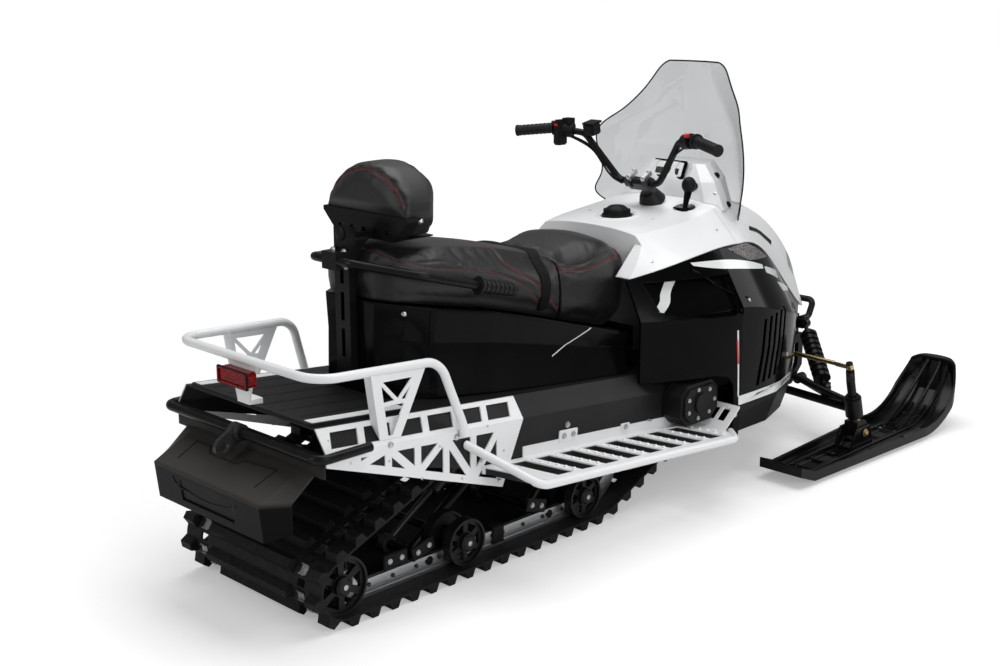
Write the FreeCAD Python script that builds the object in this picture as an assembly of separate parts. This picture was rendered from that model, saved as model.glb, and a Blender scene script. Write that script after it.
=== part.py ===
import FreeCAD, Part
import math
import os

# A utility snowmobile with one wide track, two steered skis and a two-up seat.
# Millimetres. +X forward, +Y left, +Z up; the origin is on the ground under the middle of the box.

V = FreeCAD.Vector

# Fits and working values
running_gap = 0.3
seat_gap = 0.3
panel_gap = 0.8
overrun = 60.0
flat_bow = 0.001

# Track and its rollers
rear_axle_x = -1240.0
rear_idler_radius = 80.0
belt_thickness = 6.0
lug_height = 22.0
lug_pitch = 68.0
lug_length = 40.0
track_width = 600.0
lug_band_gap = 24.0
window_width = 30.0
window_length = 20.0
window_inset = 85.0
top_idler_x = -701.0
top_idler_z = 346.0
top_idler_radius = 65.0
drive_x = 90.0
drive_z = 256.0
drive_radius = 85.0
rail_nose_x = -255.0
rail_nose_radius = 150.0
belt_inner_z = lug_height + belt_thickness
rear_axle_z = belt_inner_z + rear_idler_radius
rail_nose_z = belt_inner_z + rail_nose_radius
track_half = track_width / 2

# Rails, wheels and arms inside the track
rail_inset = 78.0
rail_width = 16.0
rail_height = 50.0
rail_rear_x = -1258.0
rail_end_height = 34.0
rail_groove = 3.0
axle_radius = 12.0
rail_wheel_radius = 68.0
wheel_width = 30.0
wheel_dish = 9.0
wheel_rim = 14.0
wheel_hub_radius = 26.0
wheel_hub_width = 38.0
wheel_outer_inset = 34.0
wheel_inner_inset = 116.0
spoke_holes = 6
spoke_hole_radius = 10.0
inner_spoke_share = 0.5
outer_spoke_share = 0.68
rail_wheel_front_x = -303.0
rail_wheel_mid_x = -800.0
sprocket_width = 24.0
sprocket_inset = 100.0
sprocket_inner_y = 90.0
drive_axle_radius = 16.0
arm_tube_radius = 14.0
arm_shaft_radius = 13.0
arm_inset = 72.0
front_arm_low_x = -420.0
front_arm_high_x = -200.0
rear_arm_low_x = -905.0
rear_arm_high_x = -560.0
arm_low_z = 62.0
front_arm_high_z = 292.0
rear_arm_high_z = 288.0
skid_shock_radius = 24.0
skid_shock_rod_radius = 9.0
skid_shock_y = 60.0
skid_shock_eye = 26.0

# Tunnel: a folded channel whose top falls towards the front
tunnel_rear_x = -1314.0
tunnel_front_x = 230.0
tunnel_rear_top_z = 545.0
tunnel_fall_share = 0.0918
tunnel_wall = 4.0
track_room = 18.0
tunnel_shoulder = 40.0
tunnel_chamfer = 58.0
tunnel_tail_z = 466.0
flange_wall = 3.0

# Running boards
board_z_rear = 321.0
board_overlap = 104.0
board_front_x = 113.0
board_width = 202.0
board_thickness = 22.0
board_tube_radius = 12.0
board_bar = 24.0
board_rung = 34.0
board_windows = 8
board_tooth = 7.0
board_teeth = 6
board_toe_in = 62.0
board_foot_z = 405.0
board_foot_reach = 119.0
board_tube_bend = 40.0
board_tab_height = 30.0
toe_front_x = 226.0
toe_rise = 120.0
toe_foot_x = 150.0
toe_slots = 3

# Side plates at the tunnel's rear
side_plate_thickness = 4.0
side_plate_length = 691.0
side_plate_nose = 82.0
side_plate_low_z = 245.0
side_plate_rear_low_z = 455.0
side_plate_rib = 22.0
plate_slots = 6
field_bays = 5
field_start_share = 0.16

# Deck, rack and tail lamp
deck_thickness = 8.0
deck_inset = 56.0
deck_length = 329.0
deck_grooves = 6
rack_radius = 12.0
rack_length = 392.0
rack_overhang = 8.0
rack_inset = 4.0
rack_taper = 14.0
rack_front_z = 650.0
rack_rear_z = 672.0
rack_foot_reach = 68.0
rack_foot_z = 470.0
rack_bend = 70.0
gusset_thickness = 4.0
gusset_top_start = 157.0
gusset_top_length = 189.0
gusset_taper = 30.0
gusset_low_length = 57.0
gusset_split_share = 0.42
gusset_rib = 5.0
lamp_half = 62.0
lamp_depth = 34.0
lamp_height = 40.0
lamp_drop = 12.0
lamp_bracket_half = 56.0
lamp_bracket_foot_half = 26.0

# Rear bumper, hitch and flap
bumper_radius = 12.5
bumper_z = 483.0
bumper_overhang = 31.0
bumper_length = 160.0
bumper_bend = 30.0
hitch_thickness = 12.0
hitch_eye_radius = 14.0
hitch_reach = 47.0
hitch_eye_z = 452.0
hitch_ring = 13.0
flap_reach = 141.0
flap_crease_inset = 86.0
flap_side_inset = 42.0
flap_crease_z = 372.0
flap_low_z = 272.0
flap_tuck = 11.0
flap_wall = 5.0
flap_side_tuck = 63.0
flap_panel_drop = 22.0
flap_fold_share = 0.2

# Seat and its base
seat_start = 5.0
seat_front_x = 12.0
seat_over_cowl = 3.0
seat_inset = 64.0
seat_edge_radius = 26.0
seat_split_x = -318.0
seat_depth = 98.0
strap_width = 34.0
strap_thickness = 3.0
strap_reach_share = 0.04
base_gap = 18.0
base_front_x = 14.0
base_side_x = -87.0
base_inset = 22.0
base_ledge = 9.0

# Backrest and grab handle
post_depth = 24.0
post_half = 30.0
post_wall = 5.0
post_low_z = 562.0
post_lap = 33.0
post_slot_length = 78.0
post_slot_width = 15.0
post_slots = 4
pad_start = 62.0
pad_depth = 135.0
pad_half = 170.0
pad_low_corner = 58.0
pad_height = 200.0
pad_corner_share = 0.46
pad_dome_share = 1.16
pad_round = 18.0
cradle_wall = 4.0
cradle_lift = 30.0
cradle_height = 65.0
cradle_slots = 7
grab_radius = 12.0
grab_bend = 48.0
grab_rear_reach = 55.0
grab_rear_half = 78.0
grab_rear_drop = 21.0
grab_corner_run = 137.0
grab_corner_reach = 22.0
grab_corner_drop = 55.0
grab_front_run = 160.0
grab_front_reach = 44.0
grab_front_drop = 99.0
grab_grip_run = 140.0
grab_grip_reach = 58.0
grab_grip_drop = 132.0
grab_grip_radius = 17.0
grab_grip_length = 128.0
grab_rib = 2.0
grab_ribs = 7
flange_radius = 26.0
flange_thickness = 5.0

# Front body: hood, console and panels share one moulded surface
cowl_rear_x = -84.0
cowl_length = 1244.0
cowl_bulge = 112.0
cowl_height = 902.0
cowl_wall = 7.0
console_rear_x = 15.0
console_tail_x = -76.0
console_seat_share = 0.98
console_share = 0.381
panel_share = 0.28
panel_low_z = 407.0
front_panel_back = 175.0
front_panel_lean = 320.0
sill_z = 300.0
pan_wall = 7.0
pan_lip = 40.0
nose_wall = 8.0
nose_light_back = 260.0
vent_count = 5
vent_width = 17.0
vent_height = 215.0
vent_pitch = 36.0
vent_lean = 34.0
vent_step = 4.0
vent_reach = 88.0
vent_low_z = 335.0
pocket_depth = 26.0
pocket_height_share = 0.80

# Console fittings, dash pod and screen
cap_x = 152.0
cap_radius = 43.0
cap_height = 40.0
cap_ring = 12.0
cap_sink = 8.0
cap_round_share = 0.8
lever_back = 49.0
lever_y = 130.0
lever_radius = 7.0
lever_length = 66.0
lever_lean_share = 0.28
knob_radius = 21.0
lever_plate_radius = 34.0
pod_start = 14.0
pod_length = 208.0
pod_rise = 110.0
pod_sink = 30.0
pod_rim_rise = 56.0
pod_rim_share = 0.74
pod_base_half = 236.0
pod_top_half = 118.0
pod_outline = [(0.0, 0.72), (0.12, 0.95), (0.42, 0.86), (1.0, 0.52)]
pod_step = 24.0
gauge_depth = 16.0
gauge_radius = 34.0
gauge_apart_share = 1.25
screen_sink = 56.0
screen_rise = 441.0
screen_half = 311.0
screen_start = 14.0
screen_depth = 290.0
screen_thickness = 4.0
screen_flat_share = 0.36
screen_bend = 60.0
screen_lean = 144.0
screen_stations = [
    (0.0, 0.865, 0.309, 0.866), (0.17, 0.967, 0.091, 0.918), (0.43, 0.987, 0.033, 0.831),
    (0.55, 0.943, 0.071, 0.755), (0.642, 0.804, 0.401, 0.545), (0.763, 0.644, 0.718, 0.318),
    (0.9, 0.49, 0.875, 0.15), (0.97, 0.4, 0.945, 0.085), (1.0, 0.29, 0.965, 0.06),
]

# Drive case, engine and front frame
case_rear_x = 6.0
case_front_x = 196.0
case_low_z = 262.0
case_top_z = 392.0
case_depth = 84.0
case_step = 14.0
engine_room = 100.0
engine_back = 460.0
engine_half = 190.0
engine_drop = 292.0
beam_y = 168.0
beam_width = 26.0
beam_low_z = 206.0
beam_height = 50.0
frame_rear_back = 325.0
frame_front_back = 74.0
frame_half = 140.0
frame_low_z = 145.0
frame_top_z = 330.0
tower_share = 0.4435
tower_back = 130.0
tower_half = 118.0
frame_web = 16.0

# Front suspension, knuckles, skis and steering links
ski_y = 500.0
kingpin_back = 292.0
kingpin_foot_z = 118.0
kingpin_rake = 46.0
kingpin_top_z = 268.0
spindle_radius = 15.0
housing_radius = 30.0
housing_low_share = 0.14
housing_high_share = 0.58
collar_step = 8.0
foot_height = 40.0
lower_arm_radius = 15.0
upper_arm_radius = 11.0
lower_pivot_rear_back = 270.0
lower_pivot_front_back = 114.0
lower_pivot_z = 166.0
upper_pivot_back = 280.0
upper_pivot_z = 236.0
arm_boss_radius = 19.0
shock_eye_radius = 18.0
shock_low_y = 356.0
shock_low_back = 262.0
shock_low_z = 200.0
shock_top_y = 160.0
shock_top_back = 102.0
shock_top_share = 0.415
shock_body_radius = 21.0
shock_coil_radius = 31.0
shock_wire_radius = 6.0
shock_coils = 8
shock_ear_gap = 13.0
shock_ear = 6.0
shock_pin_radius = 6.0
shock_rod_radius = 8.0
steer_arm_length = 64.0
steer_arm_in = 40.0
steer_arm_thickness = 9.0
steer_arm_half = 15.0
tie_rod_radius = 8.0
tie_rod_end_radius = 13.0
tie_rod_inner_y = 205.0
tie_rod_inner_z = 304.0
tie_rod_end_length = 18.0
tie_pin_radius = 6.0
tie_rod_lead = 12.0
ball_gap = 6.0
ski_tail_reach = 458.0
ski_tip_reach = 587.0
ski_tail_half = 80.0
ski_half = 118.0
ski_sole_z = 14.0
ski_wall = 9.0
ski_lip = 34.0
ski_tip_z = 240.0
ski_tip_corner = 74.0
ski_flat_reach = 297.0
ski_heel_length = 80.0
ski_heel_rise = 30.0
ski_turn_length = 150.0
ski_keel_width = 16.0
ski_rib_height = 12.0
ski_rib_width = 12.0
ski_rib_y = 44.0
ski_rib = 2.0
ski_rungs = 10
ski_saddle_half = 34.0
ski_saddle_length = 150.0
ski_saddle_wall = 8.0
ski_saddle_z = 66.0
ski_bolt_radius = 8.0
ski_bolt_z = 84.0
ski_handle_length = 60.0
ski_handle_half = 18.0

# Handlebar
column_back = 75.0
column_rise = 18.0
column_lean_deg = 35.0
column_radius = 15.0
column_length = 150.0
column_head = 34.0
bar_radius = 11.0
bar_bend = 40.0
clamp_back = 53.0
clamp_rise = 43.0
clamp_y = 36.0
clamp_width = 20.0
clamp_reach = 24.0
clamp_wall = 9.0
grip_radius = 17.0
grip_outer_back = 199.0
grip_outer_y = 415.0
grip_outer_rise = 148.0
grip_inner_back = 143.0
grip_inner_y = 288.0
grip_inner_rise = 163.0
elbow_back = 101.0
elbow_y = 196.0
elbow_rise = 149.0
bar_foot_y = 82.0
grip_wall = 5.0
grip_flange_radius = 24.0
grip_rings = 8
control_start = 6.0
control_length = 40.0
control_radius = 24.0
control_gap = 22.0
lever_blade = 4.0
brake_lever_length = 92.0
throttle_lever_length = 42.0
boot_height = 40.0
boot_half = 46.0
boot_drop = 34.0
boot_folds = 4

# Front bumper
nose_bar_radius = 12.0
nose_bar_half = 106.0
nose_bar_reach = 37.0
nose_bar_low_share = 0.412
nose_bar_top_share = 0.477
nose_bar_bend = 22.0

# Across the machine
window_y = track_half - window_inset
rail_y = track_half - rail_inset
wheel_outer_y = track_half - wheel_outer_inset
wheel_inner_y = track_half - wheel_inner_inset
sprocket_outer_y = track_half - sprocket_inset
arm_y = rail_y - arm_inset
tunnel_half = track_half + track_room
tunnel_top_half = tunnel_half - tunnel_shoulder
board_outer_y = tunnel_half + board_width
deck_half = tunnel_half - deck_inset
rack_half = tunnel_half - rack_inset
rack_rear_half = rack_half - rack_taper
flap_crease_half = tunnel_half - flap_crease_inset
flap_side_half = tunnel_half - flap_side_inset
base_half = tunnel_top_half - base_inset
seat_half = base_half - seat_inset
grab_corner_half = seat_half + grab_corner_reach
grab_front_half = seat_half + grab_front_reach
grab_grip_half = seat_half + grab_grip_reach
cowl_half = tunnel_half + cowl_bulge

# Heights that follow the front body and the seat
seat_top_z = cowl_height + seat_over_cowl
cradle_low_z = seat_top_z + cradle_lift
cradle_top_z = cradle_low_z + cradle_height
pad_top_z = cradle_low_z + pad_height
post_top_z = cradle_low_z + post_lap
grab_rear_z = seat_top_z - grab_rear_drop
grab_corner_z = seat_top_z - grab_corner_drop
grab_front_z = seat_top_z - grab_front_drop
grab_grip_z = seat_top_z - grab_grip_drop
pod_low_z = cowl_height - pod_sink
pod_rim_z = cowl_height + pod_rim_rise
pod_top_z = cowl_height + pod_rise
screen_low_z = cowl_height - screen_sink
screen_top_z = cowl_height + screen_rise
column_z = cowl_height + column_rise
clamp_z = column_z + clamp_rise
elbow_z = clamp_z + elbow_rise
grip_inner_z = clamp_z + grip_inner_rise
grip_outer_z = clamp_z + grip_outer_rise
engine_top_z = cowl_height - engine_drop
tower_z = cowl_height * tower_share
shock_top_z = cowl_height * shock_top_share
nose_bar_low_z = cowl_height * nose_bar_low_share
nose_bar_top_z = cowl_height * nose_bar_top_share

# Along the machine, from its tunnel, front body and knuckles
nose_x = cowl_rear_x + cowl_length
side_plate_front_x = tunnel_rear_x + side_plate_length
side_plate_corner_x = side_plate_front_x - side_plate_nose
board_rear_x = side_plate_front_x - board_overlap
deck_front_x = tunnel_rear_x + deck_length
rack_rear_x = tunnel_rear_x - rack_overhang
rack_front_x = rack_rear_x + rack_length
rack_foot_x = rack_front_x + rack_foot_reach
gusset_top_rear_x = rack_rear_x + gusset_top_start
gusset_top_front_x = gusset_top_rear_x + gusset_top_length
gusset_low_rear_x = gusset_top_rear_x + gusset_taper
gusset_low_front_x = gusset_low_rear_x + gusset_low_length
board_foot_x = board_rear_x - board_foot_reach
bumper_rear_x = tunnel_rear_x - bumper_overhang
bumper_end_x = bumper_rear_x + bumper_length
hitch_eye_x = bumper_rear_x - hitch_reach
flap_rear_x = tunnel_rear_x - flap_reach
flap_low_x = flap_rear_x + flap_tuck
flap_side_x = flap_rear_x + flap_side_tuck
base_rear_x = deck_front_x + base_gap
seat_rear_x = base_rear_x + seat_start
pad_rear_x = base_rear_x + pad_start
pad_front_x = pad_rear_x + pad_depth
grab_rear_x = base_rear_x - grab_rear_reach
grab_corner_x = grab_rear_x + grab_corner_run
grab_front_x = grab_corner_x + grab_front_run
grab_grip_x = grab_front_x + grab_grip_run
console_split_x = cowl_rear_x + cowl_length * console_share
panel_split_x = cowl_rear_x + cowl_length * panel_share
lever_x = console_split_x - lever_back
pod_rear_x = console_split_x + pod_start
pod_front_x = pod_rear_x + pod_length
screen_side_x = console_split_x + screen_start
vent_start_x = panel_split_x + vent_reach
front_panel_x = nose_x - front_panel_back
nose_bar_x = nose_x + nose_bar_reach
engine_front_x = nose_x - engine_back
engine_rear_x = tunnel_front_x + engine_room
frame_rear_x = nose_x - frame_rear_back
frame_front_x = nose_x - frame_front_back
tower_rear_x = nose_x - tower_back
kingpin_foot_x = nose_x - kingpin_back
kingpin_top_x = kingpin_foot_x - kingpin_rake
lower_pivot_rear_x = nose_x - lower_pivot_rear_back
lower_pivot_front_x = nose_x - lower_pivot_front_back
upper_pivot_x = nose_x - upper_pivot_back
shock_top_x = nose_x - shock_top_back
shock_low_x = nose_x - shock_low_back
ski_tail_x = kingpin_foot_x - ski_tail_reach
ski_tip_x = kingpin_foot_x + ski_tip_reach
ski_flat_front_x = kingpin_foot_x + ski_flat_reach
column_x = console_split_x - column_back
clamp_x = column_x - clamp_back
elbow_x = column_x - elbow_back
grip_inner_x = column_x - grip_inner_back
grip_outer_x = column_x - grip_outer_back


def export(name, shape):
    pieces = shape if isinstance(shape, list) else [shape]
    solids = [solid for piece in pieces for solid in piece.Solids]
    shape = solids[0] if len(solids) == 1 else Part.makeCompound(solids)
    print(name, "valid", shape.isValid(), "solids", len(shape.Solids), "faces", len(shape.Faces))
    shape.exportStep("parts/" + name + ".step")


def polygon(points):
    return Part.makePolygon(points + points[:1])


def side_prism(points, y_low, y_high):
    """A side outline in X and Z, pushed along Y from y_low to y_high."""
    face = Part.Face(polygon([V(x, y_low, z) for x, z in points]))
    return face.extrude(V(0, y_high - y_low, 0))


def plan_prism(points, z_low, z_high):
    face = Part.Face(polygon([V(x, y, z_low) for x, y in points]))
    return face.extrude(V(0, 0, z_high - z_low))


def front_prism(points, x_low, x_high):
    """An outline in Y and Z, pushed along X from x_low to x_high."""
    face = Part.Face(polygon([V(x_low, y, z) for y, z in points]))
    return face.extrude(V(x_high - x_low, 0, 0))


def rod(start, end, radius):
    return Part.makeCylinder(radius, (end - start).Length, start, end - start)


def cross_rod(x, z, y_low, y_high, radius):
    return rod(V(x, y_low, z), V(x, y_high, z), radius)


def cone(start, end, radius, end_radius):
    return Part.makeCone(radius, end_radius, (end - start).Length, start, end - start)


def mirrored(shape):
    return shape.mirror(V(0, 0, 0), V(0, 1, 0))


def both(piece):
    """A piece and its mirror image, as two solids of one node."""
    return [piece, mirrored(piece)]


def block(x_low, x_high, y_low, y_high, z_low, z_high):
    return Part.makeBox(x_high - x_low, y_high - y_low, z_high - z_low, V(x_low, y_low, z_low))


def between(start, end, share):
    return start + (end - start) * share


def inset_outline(points, distance):
    """A convex outline with every side moved inwards by a distance."""
    area = sum(a[0] * b[1] - b[0] * a[1] for a, b in zip(points, points[1:] + points[:1]))
    turn = math.copysign(1.0, area)
    lines = []
    for (x0, z0), (x1, z1) in zip(points, points[1:] + points[:1]):
        length = math.hypot(x1 - x0, z1 - z0)
        dx, dz = (x1 - x0) / length, (z1 - z0) / length
        lines.append((x0 - dz * distance * turn, z0 + dx * distance * turn, dx, dz))
    out = []
    for (px, pz, ax, az), (qx, qz, bx, bz) in zip(lines[-1:] + lines[:-1], lines):
        cross = ax * bz - az * bx
        along = ((qx - px) * bz - (qz - pz) * bx) / cross
        out.append((px + ax * along, pz + az * along))
    return out


def bent_path(points, bend):
    """Straight runs joined by tangent arcs of the given radius."""
    edges = []
    last = points[0]
    for before, corner, after in zip(points, points[1:], points[2:]):
        into = (corner - before).normalize()
        out = (after - corner).normalize()
        turn = math.acos(max(-1.0, min(1.0, into.dot(out))))
        cut = bend * math.tan(turn / 2)
        begin = corner - into * cut
        end = corner + out * cut
        inward = (out - into).normalize()
        middle = corner + inward * (bend / math.cos(turn / 2) - bend)
        edges.append(Part.LineSegment(last, begin).toShape())
        edges.append(Part.Arc(begin, middle, end).toShape())
        last = end
    edges.append(Part.LineSegment(last, points[-1]).toShape())
    return Part.Wire(edges)


def tube(points, radius, bend):
    """A round bar bent along the points."""
    path = bent_path(points, bend)
    ring = Part.Wire(Part.makeCircle(radius, points[0], points[1] - points[0]))
    return path.makePipeShell([ring], True, False)


def mirrored_run(points):
    """A run of points on the right, carried on to its mirror image on the left."""
    return points + [V(p.x, -p.y, p.z) for p in reversed(points)]


def lofted(wires, ruled=False):
    return Part.makeLoft(wires, True, ruled)


def fused(shapes):
    shape = shapes[0]
    if len(shapes) > 1:
        shape = shape.multiFuse(shapes[1:])
    return shape.removeSplitter()


def tunnel_top(x):
    return tunnel_rear_top_z - (x - tunnel_rear_x) * tunnel_fall_share


def board_top(x):
    return board_z_rear - (x - board_rear_x) * tunnel_fall_share


# The track: a closed belt round its rollers, with rows of lugs and drive windows


def loop_runs(offset):
    """Tangent points of the track loop, in order, at an offset outside the rollers."""
    circles = [
        (rail_nose_x, rail_nose_z, rail_nose_radius + offset),
        (drive_x, drive_z, drive_radius + offset),
        (top_idler_x, top_idler_z, top_idler_radius + offset),
        (rear_axle_x, rear_axle_z, rear_idler_radius + offset),
    ]
    runs = []
    for (x0, z0, r0), (x1, z1, r1) in zip(circles, circles[1:] + circles[:1]):
        distance = math.hypot(x1 - x0, z1 - z0)
        heading = math.atan2(z1 - z0, x1 - x0) + math.asin((r0 - r1) / distance)
        nx, nz = math.sin(heading), -math.cos(heading)
        runs.append(((x0 + nx * r0, z0 + nz * r0), (x1 + nx * r1, z1 + nz * r1)))
    return circles, runs


def loop_wire(offset, y):
    circles, runs = loop_runs(offset)
    edges = []
    for index, (start, end) in enumerate(runs):
        edges.append(Part.LineSegment(V(start[0], y, start[1]), V(end[0], y, end[1])).toShape())
        x, z, radius = circles[(index + 1) % len(circles)]
        following = runs[(index + 1) % len(runs)][0]
        a0 = math.atan2(end[1] - z, end[0] - x)
        a1 = math.atan2(following[1] - z, following[0] - x)
        if a1 < a0:
            a1 += 2 * math.pi
        mid = (a0 + a1) / 2
        middle = V(x + radius * math.cos(mid), y, z + radius * math.sin(mid))
        edges.append(Part.Arc(V(end[0], y, end[1]), middle, V(following[0], y, following[1])).toShape())
    return Part.Wire(edges)


def loop_ring(low, high, y_low, y_high):
    outer = Part.Face(loop_wire(high, y_low))
    inner = Part.Face(loop_wire(low, y_low))
    return outer.cut(inner).extrude(V(0, y_high - y_low, 0))


class BeltLine:
    """The belt's outer line as a closed path, measured along its length."""

    def __init__(self, y):
        self.edges = loop_wire(belt_thickness, y).Edges
        self.starts = [0.0]
        for edge in self.edges:
            self.starts.append(self.starts[-1] + edge.Length)
        self.length = self.starts[-1]
        self.count = int(self.length / lug_pitch)
        self.step = self.length / self.count

    def place(self, along):
        """The point and the outward direction at a distance along the belt."""
        along = along % self.length
        number = max(i for i in range(len(self.edges)) if self.starts[i] <= along)
        edge = self.edges[number]
        at = edge.getParameterByLength(along - self.starts[number])
        tangent = edge.tangentAt(at)
        return edge.valueAt(at), V(tangent.z, 0, -tangent.x)

    def follow(self, start, end):
        """Edges that follow the belt from start to end."""
        stops = [start]
        for turn in (0.0, self.length):
            stops += [s + turn for s in self.starts[:-1] if start < s + turn < end]
        stops.append(end)
        pieces = []
        for s0, s1 in zip(stops, stops[1:]):
            p0, p1, middle = self.place(s0)[0], self.place(s1)[0], self.place((s0 + s1) / 2)[0]
            bow = (middle - (p0 + p1) / 2).Length
            if bow > flat_bow:
                pieces.append(Part.Arc(p0, middle, p1).toShape())
            else:
                pieces.append(Part.LineSegment(p0, p1).toShape())
        return pieces


def lug_band(y_low, y_high, height):
    """One row of the belt with its lugs standing out of it."""
    line = BeltLine(y_low)
    edges = []
    for index in range(line.count):
        along = index * line.step
        foot_in, foot_out = along - lug_length / 2, along + lug_length / 2
        point, outward = line.place(along)
        slim = V(-outward.z, 0, outward.x) * (lug_length / 4)
        corners = [line.place(foot_in)[0], point + outward * height - slim,
                   point + outward * height + slim, line.place(foot_out)[0]]
        for p0, p1 in zip(corners, corners[1:]):
            edges.append(Part.LineSegment(p0, p1).toShape())
        edges += line.follow(foot_out, along + line.step - lug_length / 2)
    outer = Part.Face(Part.Wire(edges))
    inner = Part.Face(loop_wire(0.0, y_low))
    return outer.cut(inner).extrude(V(0, y_high - y_low, 0))


def window_band(y_low, y_high):
    """A plain row of the belt with one drive window between each pair of lugs."""
    line = BeltLine(y_low - overrun)
    cutters = []
    for index in range(line.count):
        point, outward = line.place((index + 1 / 2) * line.step)
        ahead = V(-outward.z, 0, outward.x) * (window_length / 2)
        near, far = point - outward * belt_thickness * 2, point + outward * belt_thickness
        ring = polygon([near - ahead, far - ahead, far + ahead, near + ahead])
        cutters.append(Part.Face(ring).extrude(V(0, y_high - y_low + 2 * overrun, 0)))
    middle = (y_low + y_high) / 2
    width = V(0, (window_width + 2 * overrun - (y_high - y_low)) / 2 + running_gap, 0)
    band = loop_ring(0.0, belt_thickness, middle - window_width / 2, middle + window_width / 2)
    return band.cut(Part.makeCompound(cutters))


def track():
    near, far = window_y - window_width / 2, window_y + window_width / 2
    outer_lug = far + lug_band_gap
    bands = [lug_band(-near + lug_band_gap, near - lug_band_gap, lug_height)]
    for side in (1, -1):
        for y0, y1, make in ((near - lug_band_gap, near, None), (near, far, window_band),
                             (far, outer_lug, None), (outer_lug, track_half, lug_band)):
            low, high = sorted((side * y0, side * y1))
            if make is lug_band:
                bands.append(lug_band(low, high, lug_height))
            elif make is window_band:
                bands += window_band(low, high).Solids
            else:
                bands.append(loop_ring(0.0, belt_thickness, low, high))
    return fused(bands)


# Rails, wheels and arms of the rear skid


def spoke_cutters(x, z, radius, y_low, y_high):
    """Holes between the spokes, narrow at the hub and wide at the rim."""
    cutters = []
    inner, outer = wheel_hub_radius + spoke_hole_radius / 2, radius - wheel_rim
    for index in range(spoke_holes):
        turn = 2 * math.pi * index / spoke_holes
        spread = math.pi / spoke_holes
        corners = []
        for reach, share in ((inner, -inner_spoke_share), (outer, -outer_spoke_share),
                             (outer, outer_spoke_share), (inner, inner_spoke_share)):
            angle = turn + spread * share
            corners.append((x + reach * math.cos(angle), z + reach * math.sin(angle)))
        cutters.append(side_prism(corners, y_low, y_high))
    return cutters


def wheel(x, z, y, radius, open_web):
    """A road wheel with a dished web, and holes in it where the web is seen."""
    low, high = y - wheel_width / 2, y + wheel_width / 2
    shape = cross_rod(x, z, low, high, radius - running_gap)
    dish = radius - wheel_rim / 2
    for face, inward in ((low, wheel_dish), (high, -wheel_dish)):
        a, b = sorted((face, face + inward))
        shape = shape.cut(cross_rod(x, z, a, b, dish))
    shape = shape.fuse(cross_rod(x, z, y - wheel_hub_width / 2, y + wheel_hub_width / 2, wheel_hub_radius))
    if open_web:
        shape = shape.cut(Part.makeCompound(spoke_cutters(x, z, radius, low, high)))
    return shape


def wheel_set(x, z, radius):
    """Four wheels on one axle through the two rails."""
    reach = wheel_outer_y + wheel_hub_width / 2
    parts = [cross_rod(x, z, -reach, reach, axle_radius)]
    for y in (wheel_outer_y, wheel_inner_y):
        for side in (1, -1):
            parts.append(wheel(x, z, side * y, radius, y == wheel_outer_y))
    return fused(parts)


def axle_places():
    rail_wheel_z = belt_inner_z + rail_wheel_radius
    return [(rear_axle_x, rear_axle_z), (rail_wheel_mid_x, rail_wheel_z), (rail_wheel_front_x, rail_wheel_z)]


def rail_right():
    """One slide rail: a grooved beam that curls up at the front."""
    low = belt_inner_z + running_gap
    y_low, y_high = -rail_y - rail_width, -rail_y
    top = low + rail_height
    heel_x = rear_axle_x + rear_idler_radius
    beam = side_prism([
        (rail_rear_x, rear_axle_z - rail_end_height / 2),
        (heel_x, low),
        (rail_nose_x, low),
        (rail_nose_x, top),
        (heel_x, top),
        (rear_axle_x + rail_height, rear_axle_z + rail_end_height / 2),
        (rail_rear_x, rear_axle_z + rail_end_height / 2),
    ], y_low, y_high)
    outer = cross_rod(rail_nose_x, rail_nose_z, y_low, y_high, rail_nose_radius - running_gap)
    inner = cross_rod(rail_nose_x, rail_nose_z, y_low, y_high, rail_nose_radius - running_gap - rail_height)
    keep = side_prism([
        (rail_nose_x, rail_nose_z),
        (rail_nose_x, low - overrun),
        (rail_nose_x + rail_nose_radius, low - overrun),
        (rail_nose_x + rail_nose_radius, rail_nose_z - rail_nose_radius / 2),
    ], y_low, y_high)
    shape = beam.fuse(outer.cut(inner).common(keep)).removeSplitter()
    groove = rail_height / 5
    for level in (1, 3):
        z = low + groove * level
        shape = shape.cut(block(heel_x + groove, rail_nose_x, y_low, y_low + rail_groove, z, z + groove))
    for x, z in axle_places():
        shape = shape.cut(cross_rod(x, z, y_low - overrun, y_high + overrun, axle_radius + running_gap))
    for x in (rear_arm_low_x, front_arm_low_x):
        shape = shape.cut(cross_rod(x, arm_low_z, y_low - overrun, y_high + overrun, arm_shaft_radius + running_gap))
    return shape


def drive_axle():
    parts = [cross_rod(drive_x, drive_z, -tunnel_half, tunnel_half, drive_axle_radius)]
    for y in (sprocket_outer_y, sprocket_inner_y, -sprocket_inner_y, -sprocket_outer_y):
        parts.append(cross_rod(drive_x, drive_z, y - sprocket_width / 2, y + sprocket_width / 2,
                               drive_radius - running_gap))
    return fused(parts)


def top_idlers():
    reach = tunnel_half - tunnel_wall - seat_gap
    parts = [cross_rod(top_idler_x, top_idler_z, -reach, reach, axle_radius)]
    for y in (wheel_inner_y, -wheel_inner_y):
        parts.append(wheel(top_idler_x, top_idler_z, y, top_idler_radius, False))
    return fused(parts)


def skid_arms():
    """The two arms that hold the rails below the tunnel, each with a lower and an upper cross shaft."""
    parts = []
    for low_x, high_x, high_z in ((front_arm_low_x, front_arm_high_x, front_arm_high_z),
                                  (rear_arm_low_x, rear_arm_high_x, rear_arm_high_z)):
        low_reach = rail_y + rail_width
        high_reach = tunnel_half - tunnel_wall - running_gap
        pieces = [cross_rod(low_x, arm_low_z, -low_reach, low_reach, arm_shaft_radius),
                  cross_rod(high_x, high_z, -high_reach, high_reach, arm_shaft_radius)]
        for y in (arm_y, -arm_y):
            pieces.append(rod(V(low_x, y, arm_low_z), V(high_x, y, high_z), arm_tube_radius))
        parts.append(fused(pieces))
    return parts


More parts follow.
